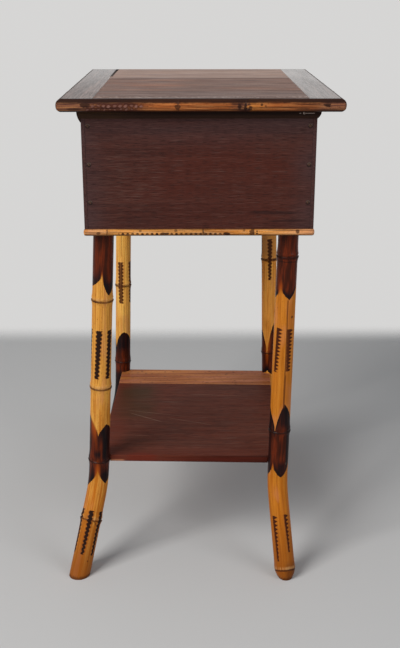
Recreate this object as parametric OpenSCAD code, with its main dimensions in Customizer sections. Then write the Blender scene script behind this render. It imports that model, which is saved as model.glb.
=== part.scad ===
// Antique bamboo sewing box on a stand. Lengths are in millimetres, +Z is up and the feet stand on Z = 0.
// The origin lies on the floor below the middle of the whole piece. The front end of the box faces -Y,
// and the lid is hinged along the right side, at +X.

/* [Box] */
// Width of the box, from side to side
box_w = 296; // [270:1:330]
// Length of the box, from its front end to its back end
box_d = 394; // [370:1:430]
// Height of the box's walls
box_h = 152; // [130:1:190]
// Thickness of the two long side boards
side_t = 12; // [10:0.5:14]
// Thickness of the two end boards
end_t = 11; // [8:0.5:14]
// Lip of the side board that shows beside each end board
lip_t = 5; // [3:0.5:6]
// Thickness of the bottom board
bottom_t = 8; // [6:0.5:12]
// Depth of the split bamboo round the foot of the box, on its two ends
base_trim_d = 4.5; // [3:0.5:6]
// Depth of the thinner splints of bamboo along its two long sides
base_trim_side_d = 1.2; // [1:0.1:6]
// How far that bamboo laps up on to the walls
base_trim_lap = 0.5; // [0:0.5:3]

/* [Rim bead] */
// Depth of the dark bead under the lid
bead_d = 4.5; // [3:0.5:5]
// Height of the bead on the two ends
bead_h = 10; // [7:0.5:16]
// Height of the bead on the left side
bead_h_left = 15; // [7:0.5:18]
// Height of the bead on the hinge side
bead_h_right = 8; // [6:0.5:16]
// Gap between the bead and the lid
bead_drop = 0.6; // [0.3:0.1:1.5]

/* [Lid] */
// Overhang of the lid's boards past the sides of the box
overhang_side = 24; // [18:1:34]
// Overhang of the lid's boards past the ends of the box
overhang_end = 19; // [10:1:30]
// How far the lid's middle lies to the right of the box's middle
lid_shift = 2.4; // [0:0.1:4]
// Thickness of the lid
lid_t = 16; // [12:0.5:22]
// Width of the cleat at each end of the lid's boards
cleat_w = 39; // [34:1:60]
// Width of the lid's front board
board_front_w = 92; // [60:1:120]
// Width of the lid's middle board
board_middle_w = 184; // [140:1:210]
// Thickness of the tongues that hold the boards in the cleats
tongue_t = 5; // [3:0.5:7]
// Length of those tongues
tongue_l = 7; // [4:0.5:12]
// Width of the shrinkage gap at the back left, at its open end
shrink_w = 2.6; // [1:0.1:5]
// Length of that gap
shrink_l = 110; // [60:1:130]
// Depth of the split bamboo round the lid
lid_trim_d = 6; // [4:0.5:8]
// Radius of the worn corners of the bamboo trims
corner_r = 7; // [3:0.5:12]

/* [Hinges] */
// Length of each hinge
hinge_l = 38; // [30:1:60]
// Width of a hinge leaf, from the pin to its edge
leaf_w = 16; // [13:0.5:17]
// Thickness of a hinge leaf
leaf_t = 1.4; // [1:0.1:2]
// Radius of the hinge's knuckles
knuckle_r = 2.6; // [2.2:0.1:3.2]
// Radius of the hinge pin
pin_r = 1.2; // [0.8:0.1:1.6]
// How far the pin stands out from the side of the box
pin_out = 5.6; // [5:0.1:7]
// Distance between the middles of the two hinges
hinge_gap = 240; // [160:1:300]

/* [Legs] */
// Height of the legs, from the floor to the box
leg_h = 500; // [420:1:560]
// Distance between the legs under the box, side to side
leg_top_w = 242; // [200:1:262]
// Distance between the legs under the box, front to back
leg_top_d = 344; // [300:1:354]
// How far the legs stand to the left under the box
leg_shift = 2.7; // [0:0.1:8]
// Diameter of the two front culms under the box
front_culm = 27.4; // [22:0.2:30]
// Diameter of the two back culms under the box
back_culm = 24.6; // [22:0.2:30]
// How much thicker a culm is at the floor than under the box
culm_growth = 2; // [0:0.2:5]
// Height of the knee where the legs bend outwards
knee_z = 128; // [110:1:132]
// Radius of the bend at the knee
bend_r = 120; // [80:1:130]
// Splay of the feet past the knees, side to side
splay_side = 20; // [8:1:40]
// Splay of the feet past the knees, front to back
splay_end = 45; // [20:1:60]
// How far the feet have moved to the left as a set
foot_shift = 8; // [0:1:12]
// Diameter of the hollow in the end of each foot
foot_hollow = 10; // [6:0.5:13]
// Depth of that hollow
foot_hollow_l = 24; // [10:1:40]
// Diameter of the dowel in the top of each leg
dowel_dia = 15; // [10:0.5:17]
// Length of that dowel
dowel_l = 42; // [30:1:60]

/* [Shelf] */
// Height of the shelf's top face
shelf_z = 169; // [162:1:260]
// Thickness of the shelf
shelf_t = 9.5; // [7:0.5:12]
// Width of the shelf, between the axes of the legs
shelf_w = 256; // [230:1:290]
// Length of the shelf, between the axes of the legs
shelf_d = 336; // [300:1:370]
// Width of the paler strip along its back
strip_w = 64; // [40:1:90]
// Turn of the shelf against the box, in degrees
shelf_turn = 2; // [0:0.1:3]
// How far the shelf's middle lies to the left
shelf_shift = 9.2; // [0:0.1:16]
// Clearance between the shelf's notches and the legs
notch_gap = 0.4; // [0.1:0.1:0.8]
// Eased edge along the front and back of the shelf
shelf_ease = 1.2; // [0.4:0.2:2.4]

/* [Tray] */
// Height of the tray
tray_h = 42; // [34:1:60]
// Length of the tray, along the box
tray_l = 184; // [150:1:230]
// Thickness of the tray's walls
tray_wall = 6; // [4:0.5:8]
// Thickness of the tray's bottom
tray_floor = 4; // [2.5:0.5:6]
// Thickness of the tray's partitions
partition_t = 4; // [3:0.5:6]
// Height of the partitions
partition_h = 30; // [20:1:38]
// Depth of the grooves that hold them
groove = 2; // [1:0.5:3]
// Clearance on each side of the tray
tray_gap = 0.6; // [0.4:0.1:1.5]
// Room between the tray and the lid
tray_drop = 5; // [2:0.5:15]
// Width and height of the runners under the tray
runner = 10; // [6:0.5:16]

/* [Nails and screws] */
// Radius of a nail's shank
nail_r = 0.9; // [0.6:0.1:1.3]
// Radius of a nail's head
nail_head = 1.7; // [1.4:0.1:2.4]
// Radius of a wood screw's shank
screw_r = 1.1; // [0.8:0.1:1.4]
// Radius of a wood screw's head
screw_head = 2.3; // [1.8:0.1:2.8]

/* [Hidden] */
$fn = 48;

// Colours of the real surfaces
bamboo = [0.80, 0.58, 0.29];
dark_bamboo = [0.52, 0.28, 0.12];
mahogany = [0.28, 0.13, 0.11];
lacquer = [0.24, 0.19, 0.17];
pine = [0.62, 0.42, 0.25];
inner_wood = [0.66, 0.50, 0.34];
black_lacquer = [0.10, 0.07, 0.06];
brass = [0.62, 0.50, 0.28];
iron = [0.25, 0.22, 0.20];

// Order of the four sides of a ring, and of the four corners
FRONT = 0;
RIGHT = 1;
BACK = 2;
LEFT = 3;
FL = 0;
FR = 1;
BL = 2;
BR = 3;
corner_sign = [[-1, -1], [1, -1], [-1, 1], [1, 1]];

// Levels
wall_z0 = leg_h + bottom_t;
rim_z = wall_z0 + box_h;
lid_top = rim_z + lid_t;

// Plan sizes
inner_w = box_w - 2 * side_t;
inner_d = box_d - 2 * end_t;
lid_w = box_w + 2 * overhang_side;
lid_d = box_d + 2 * overhang_end;
boards_w = lid_w - 2 * cleat_w;
board_back_w = lid_d - board_front_w - board_middle_w;
seam = 0.3;
tongue_play = 0.5;

// A cut goes this far past the face that it opens
past = 1;

// Legs: where each culm's axis meets the box, how the natural culms stray, and their joints' heights
stray = [[-2, 0], [0, 0], [2, 0], [-1, 0]];
leg_joints = [[405, 277, 164, 80], [466, 213, 12], [324, 186, 62], [370, 205, 44]];
shelf_mid = shelf_z - shelf_t / 2;
function culm_r(i) = (i < 2 ? front_culm : back_culm) / 2;
function foot_r(i) = culm_r(i) + culm_growth / 2;
function leg_top(i) = [
    corner_sign[i].x * leg_top_w / 2 - leg_shift + stray[i].x,
    corner_sign[i].y * leg_top_d / 2 + stray[i].y,
    leg_h
];
function turned(p, a) = [p.x * cos(a) - p.y * sin(a), p.x * sin(a) + p.y * cos(a)];
function leg_seat(i) =
    let (c = turned([corner_sign[i].x * shelf_w / 2, corner_sign[i].y * shelf_d / 2], -shelf_turn))
    [c.x - shelf_shift, c.y, shelf_mid];
function leg_knee(i) =
    leg_top(i) + (leg_seat(i) - leg_top(i)) * (leg_h - knee_z) / (leg_h - shelf_mid);
function leg_foot(i) = let (k = leg_knee(i)) [
    k.x + corner_sign[i].x * splay_side - foot_shift,
    k.y + corner_sign[i].y * splay_end,
    0
];
function unit(v) = v / norm(v);
function along(i) = unit(leg_knee(i) - leg_top(i));
function outwards(i) = unit(leg_foot(i) - leg_knee(i));
function bend(i) = acos(along(i) * outwards(i));
function bend_reach(i) = bend_r * tan(bend(i) / 2);
function upper_l(i) = norm(leg_knee(i) - leg_top(i)) - bend_reach(i);
function lower_l(i) = norm(leg_foot(i) - leg_knee(i)) - bend_reach(i);
function elbow_r(i) = culm_r(i) + culm_growth / 2 * (leg_h - knee_z) / leg_h;

// A bamboo joint, as [distance along the culm, swelling], for a culm of this radius
joint_r = 13.7;
joint_ring = [
    [-15, 0], [-7, 0.5], [-4, 1.1], [-2.2, 0.5], [-0.9, 0.7], [0, 1.6], [1.6, 1.2], [5, 0.4], [10, 0]
];
// The front right foot is the culm's own butt, which rounds in below its last joint in this way
toe_ring = [[-12, 0], [-5, 0.4], [-1.6, 0.6], [-0.6, -0.2], [0.6, 0.2],
    [4, -0.9], [8, -2.4], [12, -4.6], [15, -6.8]];
// The bend laps this far into the straight culms, in degrees, and lies this much inside them
bend_lap = 0.8;
bend_sink = 0.05;
// How far past a trim's depth its joints may swell, and what is planed off its upper and lower edge
trim_swell = 2;
trim_planed = 0.25;

// The left feet reach out past the lid, so the box's middle lies this far to the right of the origin
box_x = -(leg_foot(FL).x - foot_r(FL) + lid_shift + lid_w / 2 + lid_trim_d) / 2;

// Hinges
hinge_x = box_w / 2 + pin_out;
knuckle_l = hinge_l / 3;
knuckle_play = 0.15;
pin_play = 0.05;
turn_gap = 0.35;
leaf_fit = 0.1;
leaf_screw_y = hinge_l * 0.29;
leaf_screw_edge = 6;
leaf_screw_x = leaf_w - leaf_screw_edge;
hinge_screw_l = 9;

// Nails and screws
nail_head_t = 0.6;
nail_tip = 2;
box_nail_l = 30;
box_nail_step = box_h * 0.32;
box_nail_mid = wall_z0 + box_h * 0.55;
box_nail_x = box_w / 2 - (lip_t + side_t) / 2;
bottom_nail_l = 26;
shelf_nail_l = 42;
leg_screw_l = 36;
leg_screw_r = 1.8;
leg_screw_head = 3.8;
countersink = 1.2;

// Tray
tray_w = inner_w - 2 * tray_gap;
tray_z = rim_z - tray_drop - tray_h;
tray_y0 = -inner_d / 2 + tray_gap;
tray_walls_z = tray_z + tray_floor;
partition_x = tray_w / 6;
partition_clear = 0.1;

// Puts its children, modelled round the box's middle, in the frame of the whole piece
module placed() {
    translate([box_x, 0, 0]) children();
}

// Puts its children, modelled round the lid's middle, in the frame of the box
module on_lid() {
    translate([lid_shift, 0, 0]) children();
}

module slab(low, high) {
    translate(low) cube(high - low);
}

// A culm along +Z from radius r0 to radius r1, swollen at its joints, with its last joint as a toe or not
module culm(l, r0, r1, joints, swell = 1, toe = false) {
    k = r0 / joint_r;
    last = len(joints) - 1;
    rings = [for (n = [0:last]) for (p = toe && n == last ? toe_ring : joint_ring)
        [r0 + (r1 - r0) * (joints[n] + p[0] * k) / l + p[1] * k * swell, joints[n] + p[0] * k]];
    end = toe ? rings[len(rings) - 1].x : r1;
    rotate_extrude()
        polygon(concat([[0, 0], [r0, 0]], rings, [[end, l], [0, l]]));
}

// Puts its children in a leg's own frame: origin at the top, +Z down the culm, +X towards the bend
module in_leg(i) {
    z = along(i);
    x = unit(outwards(i) - z * (outwards(i) * z));
    y = cross(z, x);
    t = leg_top(i);
    multmatrix([[x.x, y.x, z.x, t.x], [x.y, y.y, z.y, t.y], [x.z, y.z, z.z, t.z], [0, 0, 0, 1]])
        children();
}

// Puts its children in the frame of the leg's lower culm, whose origin is the end of the bend
module in_lower(i) {
    b = bend(i);
    in_leg(i)
        translate([bend_r * (1 - cos(b)), 0, upper_l(i) + bend_r * sin(b)])
            rotate([0, b, 0])
                children();
}

// The straight part of a leg's culm above the knee
module upper_culm(i, grow = 0) {
    above = 12;
    up = [for (h = leg_joints[i]) if (h > knee_z) (leg_h - h) / -along(i).z + above];
    in_leg(i)
        translate([0, 0, -above])
            culm(upper_l(i) + above, culm_r(i) + grow, elbow_r(i) + grow, up);
}

// The heat-bent culm: straight, bent at the knee and straight again, sawn level at both ends
module leg_form(i) {
    below = 14;
    down = [for (h = leg_joints[i]) if (h < knee_z) lower_l(i) - h / -outwards(i).z];
    b = bend(i);
    intersection() {
        union() {
            upper_culm(i);
            in_leg(i)
                translate([bend_r, 0, upper_l(i)])
                    rotate([90, 0, 180])
                        rotate([0, 0, -bend_lap])
                            rotate_extrude(angle = b + 2 * bend_lap)
                                translate([bend_r, 0])
                                    circle(elbow_r(i) - bend_sink);
            in_lower(i)
                culm(lower_l(i) + below, elbow_r(i), foot_r(i), down, 1, i == FR);
        }
        slab([-box_w, -box_d, 0], [box_w, box_d, leg_h]);
    }
}

module dowel_form(i, l) {
    in_leg(i) translate([0, 0, -past]) cylinder(h = l + past, d = dowel_dia);
}

module leg(i) {
    color(bamboo)
        difference() {
            leg_form(i);
            dowel_form(i, dowel_l + past);
            shelf_nail(i);
            in_lower(i)
                translate([0, 0, lower_l(i) - foot_hollow_l])
                    cylinder(h = 2 * foot_hollow_l, d = foot_hollow);
        }
}

module leg_dowels() {
    color(inner_wood)
        for (i = [FL:BR])
            difference() {
                intersection() {
                    dowel_form(i, dowel_l);
                    slab([-box_w, -box_d, 0], [box_w, box_d, leg_h]);
                }
                leg_screw(i);
            }
}

// A wood screw whose flat head lies at Z = 0
module wood_screw(l, r, head) {
    rotate_extrude()
        polygon([[0, 0], [head, 0], [r, -(head - r) * countersink], [r, 2 * r - l], [0, -l]]);
}

// A nail whose head is seated at Z = 0
module nail(l) {
    rotate_extrude()
        polygon([
            [0, nail_head_t], [nail_head * 0.6, nail_head_t], [nail_head, 0], [nail_r, 0],
            [nail_r, nail_tip - l], [0, -l]
        ]);
}

module leg_screw(i) {
    t = leg_top(i);
    translate([t.x, t.y, wall_z0]) wood_screw(leg_screw_l, leg_screw_r, leg_screw_head);
}

module leg_screws() {
    color(iron) for (i = [FL:BR]) leg_screw(i);
}

// Each leg is nailed to its corner of the shelf from outside, on the diagonal
module shelf_nail(i) {
    s = leg_seat(i);
    a = atan2(corner_sign[i].y, corner_sign[i].x) - shelf_turn;
    translate(s)
        rotate([0, 0, a])
            translate([elbow_r(i), 0, 0])
                rotate([0, 90, 0])
                    nail(shelf_nail_l);
}

module shelf_nails() {
    color(iron) for (i = [FL:BR]) shelf_nail(i);
}

// A shelf board between two lines across the shelf, with its outer edges eased
module shelf_form(y0, y1, ease_front, ease_back) {
    f = ease_front ? shelf_ease : 0;
    b = ease_back ? shelf_ease : 0;
    low = shelf_z - shelf_t;
    difference() {
        translate([-shelf_shift, 0, 0])
            rotate([0, 0, -shelf_turn])
                translate([-shelf_w / 2, 0, 0])
                    rotate([90, 0, 90])
                        linear_extrude(shelf_w)
                            polygon([
                                [y0 + f, low], [y1 - b, low], [y1, low + b], [y1, shelf_z - b],
                                [y1 - b, shelf_z], [y0 + f, shelf_z], [y0, shelf_z - f], [y0, low + f]
                            ]);
        for (i = [FL:BR]) {
            upper_culm(i, notch_gap);
            shelf_nail(i);
        }
    }
}

module shelf_board() {
    color(mahogany) shelf_form(-shelf_d / 2, shelf_d / 2 - strip_w, true, false);
}

module shelf_strip() {
    color(pine) shelf_form(shelf_d / 2 - strip_w, shelf_d / 2, false, true);
}

module bottom_nails() {
    wall_x = box_w / 2 - side_t / 2;
    wall_y = box_d / 2 - end_t / 2;
    color(iron)
        for (s = [-1, 1]) {
            for (y = [-box_d / 4, 0, box_d / 4]) bottom_nail(s * wall_x, y);
            for (x = [-box_w / 6, box_w / 6]) bottom_nail(x, s * wall_y);
        }
}

module bottom_nail(x, y) {
    translate([x, y, leg_h + nail_head_t]) mirror([0, 0, 1]) nail(bottom_nail_l);
}

module bottom_board() {
    color(inner_wood)
        difference() {
            slab([-box_w / 2, -box_d / 2, leg_h], [box_w / 2, box_d / 2, wall_z0]);
            bottom_nails();
            leg_screws();
        }
}

// Three nails through each edge of each end board, into the ends of the side boards
module box_nails() {
    color(iron)
        for (c = corner_sign)
            for (k = [-1:1])
                translate([c.x * box_nail_x, c.y * box_d / 2, box_nail_mid + k * box_nail_step])
                    rotate([-90 * c.y, 0, 0])
                        nail(box_nail_l);
}

// The right side board, rebated at both ends for the end boards
module side_form() {
    difference() {
        slab([inner_w / 2, -box_d / 2, wall_z0], [box_w / 2, box_d / 2, rim_z]);
        for (s = [-1, 1])
            translate([inner_w / 2 - past, s * (box_d / 2 - end_t / 2 + past / 2), wall_z0 + box_h / 2])
                cube_on_x(side_t - lip_t + past, end_t + past, box_h + 2 * past);
    }
}

// A block that starts at X = 0 and is centred on Y and Z
module cube_on_x(x, y, z) {
    translate([0, -y / 2, -z / 2]) cube([x, y, z]);
}

module side_left() {
    color(mahogany)
        difference() {
            mirror([1, 0, 0]) side_form();
            box_nails();
            bottom_nails();
        }
}

module side_right() {
    color(mahogany)
        difference() {
            side_form();
            box_nails();
            bottom_nails();
            at_hinges() leaf_mortise(-1);
            hinge_screws_box();
        }
}

module end_form(s) {
    y = s * (box_d / 2 - end_t / 2);
    color(mahogany)
        difference() {
            translate([-box_w / 2 + lip_t, y, wall_z0 + box_h / 2])
                cube_on_x(box_w - 2 * lip_t, end_t, box_h);
            box_nails();
            bottom_nails();
        }
}

module end_front() {
    end_form(-1);
}

module end_back() {
    end_form(1);
}

// Puts its children on one side of a ring in plan: their run lies along X, and -Y is outwards
module on_side(side, w, d) {
    rotate([0, 0, 90 * side]) translate([0, side % 2 == 0 ? -d / 2 : -w / 2, 0]) children();
}

function run_of(side, w, d) = side % 2 == 0 ? w : d;

// Mitred plan of a piece on one side of a ring: out is its depth, and next how far its outer edge spreads
module mitre(run, out, next, h) {
    linear_extrude(h)
        polygon([[-run / 2, 0], [run / 2, 0], [run / 2 + next, -out], [-run / 2 - next, -out]]);
}

module round_plan(w, d, r, h) {
    linear_extrude(h)
        union() {
            square([w - 2 * r, d], center = true);
            square([w, d - 2 * r], center = true);
            for (c = corner_sign) translate([c.x * (w / 2 - r), c.y * (d / 2 - r)]) circle(r);
        }
}

// Split bamboo round an edge: a slice of a culm whose flat back lies on the edge, mitred at the corners.
// Its depths are those on the front and back, and on the right and left
module split_trim(side, w, d, h, depths, joints, swell) {
    run = run_of(side, w, d);
    out = depths[side % 2];
    half = h / 2 + trim_planed;
    r = (half * half + out * out) / (2 * out);
    reach = out + trim_swell;
    spread = depths[(side + 1) % 2] * reach / out;
    intersection() {
        on_side(side, w, d) {
            intersection() {
                translate([-run / 2 - spread, r - out, h / 2])
                    rotate([0, 90, 0])
                        culm(run + 2 * spread, r, r, [for (j = joints) j * run + spread], swell);
                mitre(run, reach, spread, h);
            }
        }
        round_plan(w + 2 * depths[RIGHT] + trim_swell, d + 2 * depths[FRONT] + trim_swell, corner_r, h);
    }
}

// Places of the joints along each trim, as shares of its run: front, right, back, left
base_joints = [[0.10, 0.52, 0.74], [0.2, 0.55, 0.85], [0.3, 0.72], [0.15, 0.5, 0.8]];
lid_joints = [[0.42, 0.66], [0.22, 0.48, 0.8], [0.3, 0.68], [0.16, 0.5, 0.78]];
base_swell = [1, 0.4, 1, 0.4];
lid_swell = [1.1, 0.8, 0.8, 0.8];

module base_trim(side) {
    color(bamboo)
        translate([0, 0, leg_h])
            split_trim(
                side, box_w, box_d, bottom_t + base_trim_lap, [base_trim_d, base_trim_side_d],
                base_joints[side], base_swell[side]
            );
}

module lid_trim(side) {
    color(dark_bamboo)
        translate([lid_shift, 0, rim_z])
            split_trim(
                side, lid_w, lid_d, lid_t, [lid_trim_d, lid_trim_d], lid_joints[side], lid_swell[side]
            );
}

// Quarter-round bead, deepest at its top edge, mitred at the corners
module bead(side, h) {
    run = run_of(side, box_w, box_d);
    inset = (h * h - bead_d * bead_d) / (2 * bead_d);
    translate([0, 0, rim_z - bead_drop])
        on_side(side, box_w, box_d)
            intersection() {
                translate([-run / 2 - bead_d, 0, 0])
                    rotate([90, 0, 90])
                        linear_extrude(run + 2 * bead_d)
                            intersection() {
                                translate([inset, 0]) circle(bead_d + inset);
                                translate([-bead_d, -h]) square([bead_d, h]);
                            }
                translate([0, 0, -h]) mitre(run, bead_d, bead_d, h);
            }
}

module rim_bead_right() {
    color(black_lacquer)
        difference() {
            bead(RIGHT, bead_h_right);
            at_hinges() {
                leaf_mortise(-1);
                knuckle_groove();
            }
        }
}

module runner_form(s) {
    color(inner_wood)
        translate([s * (inner_w / 2 - runner / 2), 0, tray_z - runner / 2])
            cube([runner, inner_d, runner], center = true);
}

// Puts its children at each hinge: the pin lies along Y at the origin
module at_hinges() {
    for (s = [-1, 1]) translate([hinge_x, s * hinge_gap / 2, rim_z]) children();
}

// Recess for a leaf, below the rim for the box and above it for the lid
module leaf_mortise(s) {
    l = hinge_l + 2 * leaf_fit;
    z0 = s < 0 ? -leaf_t : -past;
    z1 = s < 0 ? past : leaf_t;
    slab([-leaf_w - leaf_fit, -l / 2, z0], [0, l / 2, z1]);
}

module knuckle_groove() {
    l = hinge_l + 2 * leaf_fit;
    rotate([90, 0, 0]) cylinder(h = l, r = knuckle_r + turn_gap, center = true);
}

module knuckle(y0, y1) {
    translate([0, y1, 0]) rotate([90, 0, 0]) cylinder(h = y1 - y0, r = knuckle_r);
}

// One leaf with its knuckles: s = -1 is the box's leaf, with two knuckles, and s = 1 is the lid's
module leaf(s) {
    root = knuckle_r + turn_gap;
    low = s < 0 ? -leaf_t : 0;
    half = knuckle_l / 2;
    outer = hinge_l / 2;
    inner = half - knuckle_play;
    spans = s < 0 ? [[-outer, -half], [half, outer]] : [[-inner, inner]];
    difference() {
        union() {
            slab([-leaf_w, -outer, low], [-root, outer, low + leaf_t]);
            for (y = spans) {
                slab([-root, y[0], low], [0, y[1], low + leaf_t]);
                knuckle(y[0], y[1]);
            }
        }
        rotate([90, 0, 0]) cylinder(h = 2 * hinge_l, r = pin_r + (s < 0 ? 0 : pin_play), center = true);
        leaf_screws(s);
    }
}

// Two countersunk screws through a leaf, down into the box's side or up into the lid
module leaf_screws(s) {
    for (y = [-leaf_screw_y, leaf_screw_y])
        translate([-leaf_screw_x, y, 0])
            mirror([0, 0, s < 0 ? 0 : 1])
                wood_screw(hinge_screw_l, screw_r, screw_head);
}

module hinge_leaves_box() {
    color(brass) at_hinges() leaf(-1);
}

module hinge_leaves_lid() {
    color(brass) at_hinges() leaf(1);
}

module hinge_pins() {
    color(brass) at_hinges() rotate([90, 0, 0]) cylinder(h = hinge_l, r = pin_r, center = true);
}

module hinge_screws_box() {
    color(brass) at_hinges() leaf_screws(-1);
}

module hinge_screws_lid() {
    color(brass) at_hinges() leaf_screws(1);
}

// A lid board with a tongue on each end, between two lines across the lid
module board_form(y0, y1) {
    tongue_w = boards_w + 2 * tongue_l;
    tongue_z = rim_z + (lid_t - tongue_t) / 2;
    slab([-boards_w / 2, y0, rim_z], [boards_w / 2, y1, lid_top]);
    slab([-tongue_w / 2, y0, tongue_z], [tongue_w / 2, y1, tongue_z + tongue_t]);
}

module lid_board_front() {
    color(lacquer) on_lid() board_form(-lid_d / 2, -lid_d / 2 + board_front_w - seam);
}

module lid_board_middle() {
    y = -lid_d / 2 + board_front_w;
    color(lacquer) on_lid() board_form(y, y + board_middle_w - seam);
}

// The back board has shrunk away from the left cleat: a wedge is open there, down to the tongue
module lid_board_back() {
    x = -boards_w / 2;
    y = lid_d / 2;
    color(lacquer)
        on_lid()
            difference() {
                board_form(y - board_back_w, y);
                translate([0, 0, rim_z + (lid_t + tongue_t) / 2])
                    linear_extrude(lid_t)
                        polygon([
                            [x - past, y + past], [x + shrink_w, y + past], [x, y - shrink_l],
                            [x - past, y - shrink_l]
                        ]);
            }
}

// The cleat across the right ends of the boards, grooved for their tongues
module cleat_form() {
    difference() {
        slab([boards_w / 2, -lid_d / 2, rim_z], [lid_w / 2, lid_d / 2, lid_top]);
        slab(
            [boards_w / 2 - past, -lid_d / 2 - past, rim_z + (lid_t - tongue_t) / 2],
            [boards_w / 2 + tongue_l + tongue_play, lid_d / 2 + past, rim_z + (lid_t + tongue_t) / 2]
        );
    }
}

module lid_cleat_left() {
    color(lacquer) on_lid() mirror([1, 0, 0]) cleat_form();
}

module lid_cleat_right() {
    color(lacquer)
        difference() {
            on_lid() cleat_form();
            at_hinges() {
                leaf_mortise(1);
                knuckle_groove();
            }
            hinge_screws_lid();
        }
}

// A long wall of the tray, on the right, grooved for the ends and the cross partition
module tray_side_form() {
    x = tray_w / 2;
    difference() {
        slab([x - tray_wall, tray_y0, tray_walls_z], [x, tray_y0 + tray_l, tray_z + tray_h]);
        tray_end_form(-1);
        tray_end_form(1);
        cross_form();
    }
}

module tray_side_left() {
    color(inner_wood) mirror([1, 0, 0]) tray_side_form();
}

module tray_side_right() {
    color(inner_wood) tray_side_form();
}

// An end wall of the tray: s = -1 is the front one
module tray_end_form(s) {
    x = tray_w / 2 - tray_wall + groove;
    y = s < 0 ? tray_y0 + tray_wall / 2 : tray_y0 + tray_l - tray_wall - tray_wall / 2;
    slab([-x, y, tray_walls_z], [x, y + tray_wall, tray_z + tray_h]);
}

module tray_end_grooved(s) {
    color(inner_wood)
        difference() {
            tray_end_form(s);
            lengthwise_form(-1);
            lengthwise_form(1);
        }
}

module tray_end_front() {
    tray_end_grooved(-1);
}

module tray_end_back() {
    tray_end_grooved(1);
}

module tray_bottom() {
    color(inner_wood) slab([-tray_w / 2, tray_y0, tray_z], [tray_w / 2, tray_y0 + tray_l, tray_walls_z]);
}

// The partition across the tray, and the two along it, which are halved into each other
module cross_form() {
    x = tray_w / 2 - tray_wall + groove;
    y = tray_y0 + tray_l / 2;
    half = partition_t / 2;
    slab([-x, y - half, tray_walls_z], [x, y + half, tray_walls_z + partition_h]);
}

module lengthwise_form(s) {
    y0 = tray_y0 + tray_wall * 1.5 - groove;
    y1 = tray_y0 + tray_l - tray_wall * 1.5 + groove;
    x = s * partition_x;
    half = partition_t / 2;
    slab([x - half, y0, tray_walls_z], [x + half, y1, tray_walls_z + partition_h]);
}

module halving(x, y, z0, z1) {
    w = partition_t + 2 * partition_clear;
    slab([x - w / 2, y - w / 2, z0], [x + w / 2, y + w / 2, z1]);
}

module tray_partition_cross() {
    y = tray_y0 + tray_l / 2;
    mid = tray_walls_z + partition_h / 2;
    color(inner_wood)
        difference() {
            cross_form();
            for (s = [-1, 1]) halving(s * partition_x, y, mid, mid + partition_h);
        }
}

module tray_partition(s) {
    y = tray_y0 + tray_l / 2;
    mid = tray_walls_z + partition_h / 2;
    color(inner_wood)
        difference() {
            lengthwise_form(s);
            halving(s * partition_x, y, tray_walls_z - past, mid);
        }
}

placed() leg(FL);  // leg_front_left
placed() leg(FR);  // leg_front_right
placed() leg(BL);  // leg_back_left
placed() leg(BR);  // leg_back_right
placed() leg_dowels();
placed() leg_screws();
placed() shelf_board();
placed() shelf_strip();
placed() shelf_nails();
placed() bottom_board();
placed() bottom_nails();
placed() side_left();
placed() side_right();
placed() end_front();
placed() end_back();
placed() box_nails();
placed() base_trim(FRONT);  // base_trim_front
placed() base_trim(RIGHT);  // base_trim_right
placed() base_trim(BACK);  // base_trim_back
placed() base_trim(LEFT);  // base_trim_left
placed() color(black_lacquer) bead(FRONT, bead_h);  // rim_bead_front
placed() rim_bead_right();
placed() color(black_lacquer) bead(BACK, bead_h);  // rim_bead_back
placed() color(black_lacquer) bead(LEFT, bead_h_left);  // rim_bead_left
placed() runner_form(-1);  // runner_left
placed() runner_form(1);  // runner_right
placed() hinge_leaves_box();
placed() hinge_leaves_lid();
placed() hinge_pins();
placed() hinge_screws_box();
placed() hinge_screws_lid();
placed() lid_board_front();
placed() lid_board_middle();
placed() lid_board_back();
placed() lid_cleat_left();
placed() lid_cleat_right();
placed() lid_trim(FRONT);  // lid_trim_front
placed() lid_trim(RIGHT);  // lid_trim_right
placed() lid_trim(BACK);  // lid_trim_back
placed() lid_trim(LEFT);  // lid_trim_left
placed() tray_side_left();
placed() tray_side_right();
placed() tray_end_front();
placed() tray_end_back();
placed() tray_bottom();
placed() tray_partition_cross();
placed() tray_partition(-1);  // tray_partition_left
placed() tray_partition(1);  // tray_partition_right
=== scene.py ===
import math

import bmesh
import bpy
from mathutils import Matrix, Vector


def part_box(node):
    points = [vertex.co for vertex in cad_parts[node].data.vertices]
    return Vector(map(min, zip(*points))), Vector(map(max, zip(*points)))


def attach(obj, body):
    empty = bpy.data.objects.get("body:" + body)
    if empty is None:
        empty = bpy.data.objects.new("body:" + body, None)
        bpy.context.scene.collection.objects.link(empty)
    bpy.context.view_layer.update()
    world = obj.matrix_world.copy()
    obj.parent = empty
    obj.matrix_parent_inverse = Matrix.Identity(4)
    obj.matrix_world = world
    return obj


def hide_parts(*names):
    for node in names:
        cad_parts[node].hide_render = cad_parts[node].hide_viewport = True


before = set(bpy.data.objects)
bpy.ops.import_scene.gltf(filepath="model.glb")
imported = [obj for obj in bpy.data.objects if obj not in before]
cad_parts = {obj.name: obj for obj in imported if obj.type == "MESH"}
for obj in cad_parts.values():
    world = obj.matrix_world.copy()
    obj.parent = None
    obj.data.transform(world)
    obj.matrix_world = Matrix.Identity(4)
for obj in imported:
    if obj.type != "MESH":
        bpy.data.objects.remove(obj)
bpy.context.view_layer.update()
MM = 0.001


# ---- Walls of the box ----
# Four mahogany-stained pine boards: two long sides, rebated at both ends, and two end boards
# that are let in behind the sides' thin lips and nailed through them. All outer edges are eased.
# The stain is thin where hands have worn it, painted sheen greys it towards the top and the edges,
# and the inside was left unstained.
def maths(operation, kind="ShaderNodeMath", reflected=False):
    """A method that puts a socket and its arguments through one node."""

    def method(self, *others):
        values = (*others, self) if reflected else (self, *others)
        return self.finish.node(kind, {"operation": operation}, values)

    return method


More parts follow.
